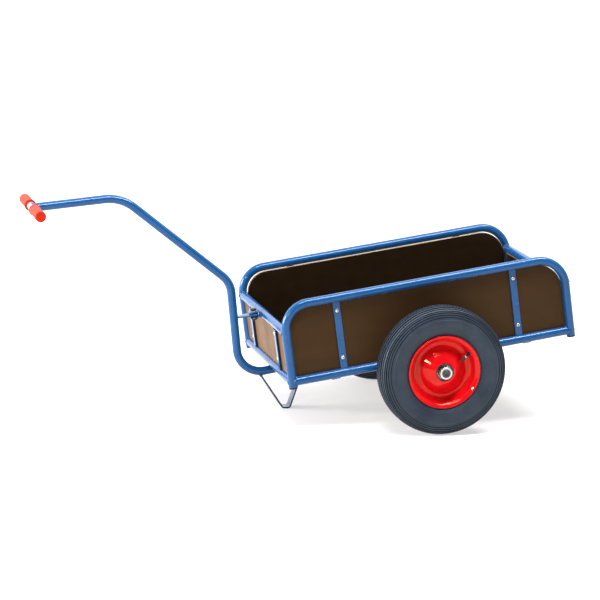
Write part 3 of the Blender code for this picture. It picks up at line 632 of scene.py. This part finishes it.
def tube_welds():
    """Beads round every joint between two frame tubes."""
    for side, s in SIDES:
        y = s * HALF_WIDTH
        bm = bmesh.new()
        for _, e in ENDS:
            x = e * HALF_LENGTH
            # the upper cross tube may meet the leg where its bend has begun
            bend = FRONT_BEND_R if e < 0 else REAR_BEND_R
            rise = max(0.0, CROSS_Z - (TOP_Z - bend))
            lean_in = bend - sqrt(bend * bend - rise * rise)
            for spot, along in (((x, y, LOW_Z), (-e, 0, 0)), ((x, y, LOW_Z), (0, -s, 0)),
                                ((x - 0.4 * e * lean_in, y, CROSS_Z), (0, -s, 0))):
                bead(bm, tube_joint(spot, along, (0, 0, 1), TUBE_R, TUBE_R))
        add(bm, f"frame_welds_{side}", BLUE)


def leg_plugs():
    for side, s in SIDES:
        for end, e in ENDS:
            lo, hi = span(f"leg_plug_{end}_{side}")
            centre = (e * HALF_LENGTH, s * HALF_WIDTH, 0)
            foot, seat, radius = lo.z, LEG_END_Z - 0.0002, TUBE_R - 0.0002
            profile = soften([(0, foot), (radius, foot), (radius, seat), (TUBE_R - 0.0026, seat),
                              (TUBE_R - 0.0032, hi.z), (0, hi.z)],
                             [0, 0.0014, 0.0006, 0, 0.0004, 0])
            bm = turned(profile, 40, "Z", centre)
            # mark of the moulding gate under the foot
            low, high = foot - 0.0003, foot + 0.0004
            lathe(bm, [(0, low), (0.0030, low), (0.0036, high), (0, high)], 24, "Z", centre)
            add(bm, f"leg_cap_{end}_{side}", BLACK, f"leg_plug_{end}_{side}")


# ------------ upright bars and their screws
SCREW_R = 0.0056
SCREW_H = 0.0026
SCREW_LOW_Z = 0.0735
SIDE_SCREW_TOP_Z = 0.222
END_SCREW_TOP_Z = 0.155


def star_screw(bm, centre, outward, radius, height, steps=48):
    """Low round head with a six-lobed socket, standing on a face."""
    place = Matrix.Translation(centre) @ Vector(outward).to_track_quat("Z", "Y").to_matrix().to_4x4()

    def star(a):
        socket_share, lobes, lobe_depth = 0.40, 6, 0.17
        return radius * socket_share * (1.0 + lobe_depth * cos(lobes * a))

    def ring(size, share, z):
        return [bm.verts.new(place @ Vector((share * size(a) * cos(a),
                                             share * size(a) * sin(a), z))) for a in angles(steps)]
    # shares of the head's and of the star's radius, with their heights
    head = [(1.0, -0.0004), (1.0, 0.30 * height), (0.95, 0.52 * height), (0.80, 0.80 * height),
            (0.62, 0.96 * height)]
    socket = [(1.12, height), (1.0, 0.96 * height), (1.0, 0.25 * height)]
    first = len(bm.faces)
    skin(bm, [ring(lambda a: radius, *row) for row in head] + [ring(star, *row) for row in socket])
    # the socket and its floor take the second material, painted shade in the recess
    bm.faces.ensure_lookup_table()
    for face in bm.faces[first + 6 * steps:]:
        face.material_index = 1
    bm.faces[first + 7 * steps].material_index = 0


def flat_bars():
    bars = [(f"side_bar_{side}_{end}", Vector((0, s, 0)), SIDE_SCREW_TOP_Z)
            for side, s in SIDES for end, _ in ENDS]
    bars += [(f"end_bar_{end}_{side}", Vector((e, 0, 0)), END_SCREW_TOP_Z)
             for end, e in ENDS for side, _ in SIDES]
    for node, out, top_screw in bars:
        lo, hi = span(node)
        k = 0 if out.x else 1
        other = 1 - k
        # the node's box takes in the screw heads, which stand out by their height
        face = (hi[k] if out[k] > 0 else lo[k]) - out[k] * SCREW_H
        back = lo[k] if out[k] > 0 else hi[k]

        def on_face(across, z, lift=0.0):
            spot = Vector((0, 0, z))
            spot[k], spot[other] = face + out[k] * lift, across
            return spot
        outline = rectangle(lo[other], lo.z - 0.0008, hi[other], hi.z + 0.0008)
        bm = flat(outline, "XY"[k], min(face, back), max(face, back), 0.0007)
        bm.normal_update()
        # the bar's narrow side faces take the dark navy paint, painted shade on the edges
        for side_face in bm.faces:
            side_face.material_index = int(abs(side_face.normal[other]) > 0.9)
        add(bm, node.replace("_bar_", "_flat_bar_"), [BLUE, EDGE_SHADE], node, smooth_angle=30)
        for place, z in (("top", top_screw), ("low", SCREW_LOW_Z)):
            bm = bmesh.new()
            star_screw(bm, on_face((lo[other] + hi[other]) / 2, z), out, SCREW_R, SCREW_H)
            # the dark steel second material paints shade into the screw sockets
            add(bm, f"screw_{node}_{place}", [DULL, DARK])
        bm = bmesh.new()
        for z in (lo.z + 0.0002, hi.z - 0.0002):
            ends = [on_face(lo[other] + 0.0012, z, 0.0001), on_face(hi[other] - 0.0012, z, 0.0001)]
            bead(bm, ends, 0.0013, loop=False)
        add(bm, f"weld_{node}", BLUE)


# ------------ plywood
def sheet(node, name, axis, radii):
    """Plywood sheet with film on its faces, layered edges and eased arrises."""
    lo, hi = span(node)
    k = "XYZ".index(axis)
    a, b = [i for i in range(3) if i != k]
    bm = flat(soften(rectangle(lo[a], lo[b], hi[a], hi[b]), radii, 14), axis, lo[k], hi[k], 0.0005)
    bmesh.ops.recalc_face_normals(bm, faces=bm.faces)
    # the film inside the box is a darker copy on the sides and ends, painted shade of the box's interior, and the
    # mesh print film on the floor
    inward = 1.0 if (lo[k] + hi[k] < 0 or axis == "Z") else -1.0
    for face in bm.faces:
        away = face.normal[k] * inward
        face.material_index = 1 if abs(away) < 0.9 else (2 if away > 0 else 0)
    add(bm, name, [FILM[axis], EDGE[axis], INNER[axis]], node, smooth_angle=30)


def walls():
    for side, _ in SIDES:
        sheet(f"side_panel_{side}", f"plywood_side_{side}", "Y", [0.004, 0.004, 0.079, 0.067])
    for end, _ in ENDS:
        sheet(f"end_panel_{end}", f"plywood_end_{end}", "X", 0.003)
    sheet("floor_panel", "plywood_floor", "Z", 0.006)


# ------------ bearers, brackets, axle
def bearers():
    """Two floor bearers that open upwards, and the axle channel, which opens downwards."""
    wall = 0.003
    for node in ("floor_bearer_front", "floor_bearer_rear", "axle_channel"):
        lo, hi = span(node)
        web, lip = (hi.z, lo.z) if node == "axle_channel" else (lo.z, hi.z)
        inner = web + copysign(wall, lip - web)
        outline = soften([(lo.x, lip), (lo.x, web), (hi.x, web), (hi.x, lip), (hi.x - wall, lip),
                          (hi.x - wall, inner), (lo.x + wall, inner), (lo.x + wall, lip)],
                         [0.0006, 0.0036, 0.0036, 0.0006, 0.0006, 0.0012, 0.0012, 0.0006], 5)
        add(flat(outline, "Y", lo.y, hi.y), f"{node}_section", BLUE, node, smooth_angle=30)


def axle_brackets():
    """Plates with a round lug under the axle, and their welds."""
    lug, shoulder = 0.0215, 0.006
    for side, s in SIDES:
        node = f"axle_bracket_{side}"
        lo, hi = span(node)
        arc = [Vector((lug * cos(a), lug * sin(a))) for a in map(radians, range(198, 343, 6))]
        outline = [Vector((lo.x, hi.z + 0.001)), Vector((lo.x, shoulder)), *arc,
                   Vector((hi.x, shoulder)), Vector((hi.x, hi.z + 0.001))]
        add(flat(outline, "Y", lo.y, hi.y, 0.0006), f"{node}_plate", BLUE, node, smooth_angle=30)
        bm = bmesh.new()
        for y in (lo.y, hi.y):
            bead(bm, [(x, y, hi.z + 0.0004) for x in (lo.x + 0.002, hi.x - 0.002)], 0.0017, loop=False)
        around = AXLE_R * 1.06
        bead(bm, [(around * cos(a), s * HALF_WIDTH + s * 0.0030, around * sin(a))
                  for a in angles(48)], 0.0013)
        add(bm, f"bracket_welds_{side}", BLUE)


def axle_parts():
    """Axle with turned ends and centre drillings, its spacers and its set collars."""
    half = [(0, AXLE_END - 0.0020), (0.0013, AXLE_END - 0.0011), (0.0024, AXLE_END - 0.0001),
            (0.0026, AXLE_END), (AXLE_R - 0.0014, AXLE_END), (AXLE_R - 0.0002, AXLE_END - 0.0012),
            (AXLE_R - 0.0001, AXLE_END - 0.0030)]
    profile = half + [(r, -y) for r, y in reversed(half)]
    add(turned(profile, 48), "through_axle", DARK, "axle")
    for side, s in SIDES:
        for part, node in (("spacer_sleeve", "axle_spacer"), ("axle_set_collar", "set_collar")):
            lo, hi = span(f"{node}_{side}")
            near, far = (lo.y, hi.y) if s > 0 else (hi.y, lo.y)
            outline = soften(rectangle(AXLE_R + 0.0003, near, hi.z, far), [0.0004, 0.0009, 0.0014, 0.0012])
            add(turned(outline, 56), f"{part}_{side}", ZINC, f"{node}_{side}")
        # grub screw in the set collar, whose box is the last one above
        tilt = radians(118)
        out = Vector((cos(tilt), 0, sin(tilt)))
        bm = bmesh.new()
        star_screw(bm, out * (hi.z - 0.0012) + Vector((0, (lo.y + hi.y) / 2, 0)), out, 0.0031, 0.0010)
        add(bm, f"collar_grub_screw_{side}", DARK)


# ------------ wheels
RIM_FRONT = [(0.1128, 0.0362), (0.1140, 0.0378), (0.1136, 0.0398), (0.1120, 0.0407), (0.1085, 0.0400),
             (0.1030, 0.0352), (0.0985, 0.0300), (0.0972, 0.0172), (0.0912, 0.0092), (0.0800, 0.0066),
             (0.0705, 0.0096), (0.0500, 0.0272), (0.0345, 0.0384), (0.0288, 0.0412), (0.0272, 0.0405)]
RIM_BACK = [(0.0272, 0.0378), (0.0320, 0.0352), (0.0490, 0.0235), (0.0690, 0.0056), (0.0800, 0.0030)]
RIM_TYRE_SIDE = [(0.0950, 0.0045), (0.1000, 0.0170), (0.1012, 0.0310), (0.1060, 0.0362), (0.1092, 0.0372)]
HUB_R = 0.0270
HUB_BORE_R = 0.0232
HUB_HALF = 0.0392
BEARING_IN = 0.014
BEARING_OUT = 0.034
# ring, cage and roller radii of a bearing, and the circle that the rollers stand on
BEARING_RINGS = ((0.0203, 0.0230), (AXLE_R + 0.0003, 0.0153))
CAGE_R = (0.0154, 0.0202)
ROLLER_R = 0.0023
ROLLER_CIRCLE_R = 0.01778
ROLLERS = 14
SIPE_PITCH = 4               # steps of the turned mesh from one sipe to the next
SIPES = 126
# tread grooves on either side of the middle: centre line, half width, depth
GROOVES = ((0.0080, 0.0028, 0.0040), (0.0228, 0.0028, 0.0040), (0.0330, 0.0015, 0.0022))
# rings moulded in the side wall: radius, half width, depth (negative stands proud)
WALL_RINGS = ((0.1205, 0.0006, -0.0007), (0.1262, 0.0007, -0.0006), (0.1625, 0.0012, -0.0005),
              (0.1722, 0.0007, 0.0009), (0.1790, 0.0008, 0.0012), (0.1856, 0.0009, 0.0016),
              (0.1905, 0.0008, 0.0016))

def crown(y):
    """Radius of the tread over its width."""
    return WHEEL_R - 0.0070 * (abs(y) / 0.0378) ** 3.2


def tyre_profile():
    """(radius, offset, rib share, groove) points from the outer bead over the crown to the middle; the groove flag
    marks the faces of painted shade in grooves and sunken rings.
    """
    wall = soften([(0.1035, 0.0312), (0.1128, 0.0336), (0.1150, 0.0362), (0.1172, 0.0366), (0.1200, 0.0404),
                   (0.1320, 0.0466), (0.1500, 0.0498), (0.1640, 0.0497), (0.1740, 0.0474), (0.1866, 0.0424),
                   (0.1925, 0.0385)],
                  [0, 0.002, 0.002, 0.002, 0.002, 0.04, 0.05, 0.05, 0.06, 0.06, 0])

    def wall_at(r):
        for p, q in zip(wall, wall[1:]):
            if p.x <= r <= q.x:
                return p.y + (q.y - p.y) * (r - p.x) / (q.x - p.x)
        return wall[-1].y
    points = [(p.x, p.y, 0.0, 0) for p in wall
              if all(abs(p.x - r) > half + 0.0006 for r, half, _ in WALL_RINGS)]
    for r, half, depth in WALL_RINGS:
        for shift, share in ((-half - 0.0004, 0), (-half, 1), (half, 1), (half + 0.0004, 0)):
            points.append((r + shift, wall_at(r + shift) - share * depth, 0.0, int(share and depth > 0)))
    points.sort()
    stops = [0.0366, 0.0288, 0.0272, 0.0172, 0.0144, 0.0025, 0.0]
    for g, half, _ in GROOVES:
        stops += [g + t for edge in (-half, half) for t in
                  (edge + copysign(0.0012, edge), edge + copysign(0.0003, edge),
                   edge - copysign(0.0001, edge), 0.55 * edge)]
    for y in sorted(set(stops), reverse=True):
        drop = max((depth * (1.0 if abs(y - g) < 0.7 * half else 0.45) for g, half, depth in GROOVES
                    if abs(y - g) < half), default=0.0)
        near = any(abs(y - g) < half + 0.001 for g, half, _ in GROOVES)
        points.append((crown(y) - drop, y, 0.0 if drop else (0.6 if near else 1.0), int(drop > 0)))
    return points


def tyre(side):
    half = tyre_profile()
    outer = half + [(r, -y, w, g) for r, y, w, g in reversed(half[:-1])]
    air = [(0.1040, 0.0220), (0.1240, 0.0350), (0.1540, 0.0430), (0.1800, 0.0340), (0.1915, 0.0120)]
    inner = [(r, -y, 0.0, 0) for r, y in air] + [(r, y, 0.0, 0) for r, y in reversed(air)]
    loop = outer + inner

    def ripple(j, k):
        """Narrow sipes across the ribs, staggered from rib to rib."""
        _, y, share, _ = loop[j]
        rib = sum(abs(y) > groove[0] for groove in GROOVES)
        return -0.0010 * share if (k + 2 * rib) % SIPE_PITCH == 0 else 0.0
    steps = SIPES * SIPE_PITCH
    bm = turned([p[:2] for p in loop], steps, ripple=ripple)
    bm.faces.ensure_lookup_table()
    # faces in the grooves and in the sunken wall rings take the darker rubber, painted shade
    for j, point in enumerate(loop):
        if point[3] or loop[(j + 1) % len(loop)][3]:
            for k in range(steps):
                bm.faces[j * steps + k].material_index = 1
    add(bm, f"pneumatic_tyre_{side}", [TYRE, GROOVE_SHADE], f"tyre_{side}", side, smooth_angle=34)


def rim(side):
    half = RIM_TYRE_SIDE + RIM_FRONT + RIM_BACK
    loop = half + [(r, -y) for r, y in reversed(half)]
    # wide easing on the dome, tight on the rolled flange
    radii = [0.060 if 0.045 < r < 0.060 else 0.020 if 0.030 < r < 0.092 else 0.0055 for r, _ in loop]
    bm = turned(soften(loop, radii, 6), 144)
    add(bm, f"pressed_rim_{side}", RED, f"rim_{side}", side, smooth_angle=55)


def hub_and_bearings(side, s):
    """Hub tube with a roller bearing in each mouth."""
    tube = soften(rectangle(HUB_BORE_R, -HUB_HALF, HUB_R, HUB_HALF), 0.0010)
    add(turned(tube, 64), f"hub_tube_{side}", DARK, f"hub_{side}", side)
    for where, t in (("outer", s), ("inner", -s)):
        bearing = f"{where}_{side}"
        bm = bmesh.new()
        for r0, r1 in BEARING_RINGS:
            ring = soften(rectangle(r0, BEARING_IN, r1, BEARING_OUT), 0.0006, 3)
            lathe(bm, flipped(ring, t), 64)
        add(bm, f"bearing_rings_{bearing}", STEEL, f"bearing_{bearing}", side)
        near, far = t * (BEARING_IN + 0.002), t * (BEARING_OUT - 0.0012)
        roller = soften([(0, near), (ROLLER_R, near), (ROLLER_R, far), (0, far)],
                        [0, 0.0005, 0.0005, 0], 3)
        bm = bmesh.new()
        for a in angles(ROLLERS):
            lathe(bm, roller, 20, centre=(ROLLER_CIRCLE_R * cos(a), 0, ROLLER_CIRCLE_R * sin(a)))
        add(bm, f"bearing_rollers_{bearing}", STEEL, None, side)
        cage = soften(rectangle(CAGE_R[0], BEARING_IN + 0.001, CAGE_R[1], BEARING_OUT - 0.0034), 0.0004, 2)
        add(turned(flipped(cage, t), 56), f"bearing_cage_{bearing}", SEAL, None, side)


def valve(side, s):
    """Bent tyre valve: rubber foot, nickel-plated stem with threads and a knurled cap."""
    root = Vector((0.0895, s * 0.0195, 0.0390))
    tip = Vector((0.0586, s * 0.0275, 0.0199))
    outward = (root - tip).normalized()
    start = root + outward * 0.003
    length = (tip - start).length
    place = WHEEL[side] @ Matrix.Translation(start) @ (-outward).to_track_quat("Z", "Y").to_matrix().to_4x4()
    foot = soften([(0, 0), (0.0061, 0), (0.0061, 0.0075), (0.0048, 0.0110), (0.0046, 0.0165), (0, 0.0165)],
                  [0, 0.0008, 0.0012, 0.0015, 0.0008, 0])
    add(turned(foot, 36, "Z"), f"valve_foot_{side}", BLACK, f"valve_{side}",
        side, place)
    threads, thread_start, thread_pitch, core, crest = 8, 0.0168, 0.0008, 0.0033, 0.0036
    thread_end = thread_start + threads * thread_pitch
    stem = [(0, 0.0160), (core, 0.0160)]
    for k in range(threads):
        z = thread_start + k * thread_pitch
        stem += [(core, z), (crest, z + 0.0004)]
    stem += [(core, thread_end), (0, thread_end)]
    add(turned(stem, 36, "Z"), f"valve_stem_{side}", ZINC, None, side, place)
    cap = soften([(0, 0.0228), (0.0046, 0.0228), (0.0046, length - 0.0012), (0.0030, length), (0, length)],
                 [0, 0.0005, 0.0008, 0.0010, 0])
    bm = turned(cap, 48, "Z",
                ripple=lambda j, k: -0.00028 if k % 4 == 0 and 2 < j < len(cap) - 8 else 0.0)
    add(bm, f"valve_cap_{side}", BLACK, None, side, place)


# ------------ drawbar, strut, bolts
def drawbar():
    flat_lo, flat_hi = span("drawbar")
    flat_w = (flat_hi.y - flat_lo.y) / 2
    end_x = flat_hi.x
    flat_h = 0.0035
    flat_z = span("floor_bearer_front")[0].z - 0.0003 - flat_h
    line = soften([(HANDLE.x, HANDLE.z), DRAW_NECK, DRAW_ELBOW, DRAW_HEEL, (DRAW_ROUND_X, DRAW_HEEL[1])],
                  [0, *DRAW_BENDS, 0], 24)
    path, shares = [Vector((p.x, 0, p.y)) for p in line], [0.0] * len(line)
    steps = 10
    for k in range(1, steps + 1):
        t = k / steps
        ease = t * t * (3 - 2 * t)
        path.append(Vector((DRAW_ROUND_X + (DRAW_FLAT_X - DRAW_ROUND_X) * t, 0,
                            DRAW_HEEL[1] + (flat_z - DRAW_HEEL[1]) * ease)))
        shares.append(ease)
    # shares above 1 narrow the pressed end towards its edge
    for x, share in ((-0.318, 1.0), (-0.300, 1.0), (end_x - 0.004, 1.0), (end_x - 0.001, 1.12),
                     (end_x, 1.5)):
        path.append(Vector((x, 0, flat_z)))
        shares.append(share)

    def section(i, a):
        t = min(shares[i], 1.0)
        cu, cv = cos(a), sin(a)
        narrow = 1.0 - 0.10 * max(0.0, shares[i] - 1.0) / 0.5
        fu = flat_w * narrow * copysign(abs(cu) ** 0.40, cu)
        fv = flat_h * narrow * copysign(abs(cv) ** 0.45, cv)
        return TUBE_R * cu * (1 - t) + fu * t, TUBE_R * cv * (1 - t) + fv * t
    bm = bmesh.new()
    sweep(bm, path, section=section)
    add(bm, "bent_drawbar_tube", BLUE, "drawbar")
    # weld where the drawbar meets the crossbar
    back = (path[1] - path[0]).normalized()
    bm = bmesh.new()
    bead(bm, tube_joint(HANDLE, back, (0, 1, 0), TUBE_R, HANDLE_R), 0.0018)
    add(bm, "handle_weld", BLUE)


def hex_piece(bm, place, flats, low, high, chamfer_low=False, steps=48):
    """Hexagonal head or nut with the turned chamfer on its free side."""
    def radius(a):
        return flats / cos((a % (pi / 3)) - pi / 6)

    def ring(size, height):
        return [bm.verts.new(place + Vector((size(a) * cos(a), size(a) * sin(a), height(a))))
                for a in angles(steps)]

    def drop(a):
        return 0.55 * (radius(a) - flats)
    skin(bm, [ring(radius, lambda a: low + (drop(a) if chamfer_low else 0.0)),
              ring(radius, lambda a: high - drop(a) - 0.0002),
              ring(lambda a: flats * 0.95, lambda a: high)])


def washer(bm, place, inner, outer, low, high):
    lathe(bm, soften(rectangle(inner, low, outer, high), 0.0005, 3), 56, "Z", place)


def strut():
    """Flat strut between the drawbar and the upright sleeve of the pivot bolt."""
    lo, hi = span("drawbar_strut")
    mid = (lo.z + hi.z) / 2
    draw_x = DRAW_ELBOW[0] + (DRAW_HEEL[0] - DRAW_ELBOW[0]) * \
        (DRAW_ELBOW[1] - mid) / (DRAW_ELBOW[1] - DRAW_HEEL[1])
    outline = soften([(draw_x + 0.004, -0.0055), (PIVOT_X - 0.014, -0.0215), (PIVOT_X + 0.004, -0.0215),
                      (PIVOT_X + 0.009, -0.0165), (PIVOT_X + 0.009, 0.0165), (PIVOT_X + 0.004, 0.0215),
                      (PIVOT_X - 0.014, 0.0215), (draw_x + 0.004, 0.0055)], 0.003)
    bm = flat(outline, "Z", mid - 0.0025, mid + 0.0025, 0.0006)
    sleeve = soften(rectangle(0.0053, lo.z, 0.0130, hi.z), 0.0008)
    lathe(bm, sleeve, 48, "Z", (PIVOT_X, 0, 0))
    for z in (mid + 0.0026, mid - 0.0026):
        bead(bm, [(PIVOT_X + 0.0136 * cos(a), 0.0136 * sin(a), z)
                  for a in [pi * (0.55 + 0.9 * k / 24) for k in range(25)]], 0.0013, loop=False)
        bead(bm, [(draw_x + TUBE_R * 0.93, y, z) for y in (-0.0060, 0.0, 0.0060)], 0.0015, loop=False)
    add(bm, "strut_with_sleeve", BLUE, "drawbar_strut")


def clevis():
    """Bracket on the front cross tube whose two ears hold the pivot bolt."""
    lo, hi = span("drawbar_clevis")
    ear = 0.0030
    back = hi.x - 0.0040
    outline = soften([(lo.x, hi.z - ear), (lo.x, hi.z), (hi.x, hi.z), (hi.x, lo.z), (lo.x, lo.z),
                      (lo.x, lo.z + ear), (back, lo.z + ear), (back, hi.z - ear)],
                     [0.0008, 0.0008, 0.0030, 0.0030, 0.0008, 0.0008, 0.0012, 0.0012])
    bm = flat(outline, "Y", lo.y, hi.y, 0.0006)
    rise = 0.006
    x = -HALF_LENGTH - sqrt(TUBE_R ** 2 - rise ** 2) - 0.0004
    for z in (CROSS_Z + rise, CROSS_Z - rise):
        bead(bm, [(x, y, z) for y in (lo.y + 0.001, hi.y - 0.001)], 0.0015, loop=False)
    add(bm, "clevis_bracket", BLUE, "drawbar_clevis")


def pivot_bolt():
    """Upright bolt through clevis and strut, with its nut and two washers."""
    clevis_lo, clevis_hi = span("drawbar_clevis")
    top, low = clevis_hi.z + 0.0003, clevis_lo.z - 0.0003
    end = span("pivot_bolt")[0].z
    spot = Vector((PIVOT_X, 0, 0))
    bm = bmesh.new()
    hex_piece(bm, spot, 0.0085, top + 0.0020, span("pivot_bolt")[1].z)
    hex_piece(bm, spot, 0.0085, low - 0.0070, low - 0.0020, True)
    profile = [(0, top + 0.003), (0.0049, top + 0.003), (0.0049, low - 0.006)]
    for k in range(4):
        profile += [(0.0049, end + 0.0036 - k * 0.0009), (0.0045, end + 0.0032 - k * 0.0009)]
    lathe(bm, profile + [(0.0040, end), (0, end)], 40, "Z", spot)
    add(bm, "pivot_bolt_and_nut", DARK, "pivot_bolt")
    bm = bmesh.new()
    washer(bm, spot, 0.0052, 0.0115, top, top + 0.0019)
    washer(bm, spot, 0.0052, 0.0115, low - 0.0019, low)
    add(bm, "pivot_washers", ZINC)


def anchor_bolt():
    """Bolt that holds the drawbar's flat end under the front floor bearer."""
    lo, hi = span("anchor_bolt")
    spot = Vector((ANCHOR_X, 0, 0))
    face = lo.z + 0.0090
    bm = bmesh.new()
    washer(bm, spot, 0.0062, 0.0120, face - 0.0020, face - 0.0001)
    hex_piece(bm, spot, 0.0091, lo.z, face - 0.0021, True)
    lathe(bm, [(0, lo.z + 0.001), (0.0058, lo.z + 0.001), (0.0058, hi.z - 0.001), (0.0050, hi.z), (0, hi.z)],
          40, "Z", spot)
    add(bm, "anchor_bolt_set", ZINC, "anchor_bolt")


def stand():
    """V-shaped flat bar under the drawbar, and its welds."""
    lo, hi = span("stand")
    half = 0.0025
    line = soften(STAND_CORNERS, [0, 0.009, 0.009, 0], 14)
    left, right = [], []
    for i, p in enumerate(line):
        t = (line[min(i + 1, len(line) - 1)] - line[max(i - 1, 0)]).normalized()
        n = Vector((-t.y, t.x)) * half
        left.append(p + n)
        right.append(p - n)
    bm = flat(left + right[::-1], "Y", lo.y, hi.y, 0.0009)
    bm.normal_update()
    # the stand's edges facing along Y take the dark navy paint, painted shade
    for face in bm.faces:
        face.material_index = int(abs(face.normal.y) > 0.6)
    add(bm, "v_stand_flat_bar", [WORN_BLUE, EDGE_SHADE], "stand", smooth_angle=32)
    bm = bmesh.new()
    z = DRAW_HEEL[1] - TUBE_R - 0.0003
    for x, _ in (STAND_CORNERS[0], STAND_CORNERS[-1]):
        for shift in (-0.0030, 0.0030):
            bead(bm, [(x + shift, y, z) for y in (-0.0065, 0.0065)], 0.0020, loop=False)
    add(bm, "stand_welds", BLUE)


# ------------ T handle
def handle():
    """Crossbar with a moulded grip on either end."""
    profile = [(HANDLE_R - 0.002, -HANDLE_HALF), (HANDLE_R, -HANDLE_HALF + 0.0004),
               (HANDLE_R, HANDLE_HALF - 0.0004), (HANDLE_R - 0.002, HANDLE_HALF)]
    add(turned(profile, 48, centre=HANDLE), "crossbar_tube", ZINC, "handle_crossbar")
    for side, s in SIDES:
        lo, hi = span(f"grip_{side}")
        inner, outer = sorted((abs(lo.y), abs(hi.y)))
        flange = (hi.z - lo.z) / 2
        radius = flange - 0.0016
        bore = HANDLE_R + 0.0002
        bottom = HANDLE_HALF + 0.0005
        outline = soften([(0, outer - 0.0006), (0.0110, outer - 0.0006), (0.0118, outer), (radius, outer),
                          (radius + 0.0002, outer - 0.030), (radius - 0.0004, outer - 0.062),
                          (radius, inner + 0.012), (radius, inner + 0.0042), (flange, inner + 0.0032),
                          (flange, inner), (bore, inner), (bore, bottom), (0, bottom)],
                         [0, 0.0008, 0.0005, 0.0032, 0.02, 0.02, 0.01, 0.0015, 0.0014, 0.0012, 0.0004, 0, 0],
                         5)
        add(turned(flipped(outline, s), 72, centre=HANDLE), f"soft_grip_{side}", GRIP,
            f"grip_{side}")


# ------------ build everything
for side, s in SIDES:
    side_frame(side, s)
    tyre(side)
    rim(side)
    hub_and_bearings(side, s)
    valve(side, s)
rails()
tube_welds()
leg_plugs()
flat_bars()
walls()
bearers()
axle_brackets()
axle_parts()
drawbar()
strut()
clevis()
pivot_bolt()
anchor_bolt()
stand()
handle()


# ------------ floor, light and camera
def studio():
    """Wide pale floor that is lit evenly to white away from the cart."""
    bm = bmesh.new()
    bmesh.ops.create_grid(bm, x_segments=2, y_segments=2, size=60.0)
    mesh = bpy.data.meshes.new("studio_floor")
    bm.to_mesh(mesh)
    bm.free()
    floor = new_object("studio_floor", mesh)
    floor.location = (0, 0, cad_low.z - 0.0002)
    paper = new_material("studio_paper", (0.46, 0.452, 0.450), 0.9, Specular_IOR_Level=0.1,
                         Emission_Color=(1.0, 0.975, 0.970), Emission_Strength=0.50)
    tone = ramp(paper, noise(paper, 1.5, 2.0), [(0.3, (0.45, 0.442, 0.440)), (0.7, (0.47, 0.462, 0.460))])
    plug(paper, tone, "Base Color")
    far = new_node(paper, "VectorMath", Vector=coordinates(paper))
    far.operation = "LENGTH"
    plug(paper, level(paper, far.outputs["Value"], 0.55, 0.95, 1.1, 3.6), "Emission Strength")
    mesh.materials.append(paper)


def lamp(name, place, size, power, shape="RECTANGLE"):
    """Area lamp that faces the middle of the cart."""
    light = bpy.data.lights.new(name, "AREA")
    light.shape = shape
    light.size, light.size_y = size
    light.energy = power
    ob = new_object(name, light)
    ob.location = place
    ob.rotation_mode = "QUATERNION"
    ob.rotation_quaternion = ((cad_low + cad_high) / 2 - Vector(place)).to_track_quat("-Z", "Y")


def lights():
    """A bright backdrop behind the cart, a dark room on the near side, and three lamps."""
    world = bpy.data.worlds.new("studio_world")
    bpy.context.scene.world = world
    world.use_nodes = True
    background = world.node_tree.nodes["Background"].inputs
    split = new_node(world, "SeparateXYZ", Vector=new_node(world, "TexCoord").outputs["Generated"])
    strength = level(world, split.outputs["Y"], 0.06, 1.60, -0.60, 0.55, "SMOOTHSTEP")
    feed(world, background["Strength"], strength)
    feed(world, background["Color"], (1.0, 1.0, 1.0))
    lamp("key", (-4.8, -4.0, 2.8), (0.6, 0.6), 110.0, "DISK")
    lamp("left_softbox", (-5.0, 0.5, 1.4), (2.4, 1.8), 480.0)
    lamp("overhead", (0.6, -1.3, 4.0), (4.4, 0.80), 400.0)


def camera():
    lens = bpy.data.cameras.new("camera")
    lens.sensor_width = 36.0
    lens.lens = 166.45
    lens.clip_end = 200.0
    ob = new_object("camera", lens)
    ob.location = (-2.0601, -8.3265, 2.0298)
    ob.rotation_euler = tuple(radians(a) for a in (78.894, -2.042, -13.680))
    bpy.context.scene.camera = ob


studio()
lights()
camera()
bpy.context.scene.view_settings.view_transform = "Standard"
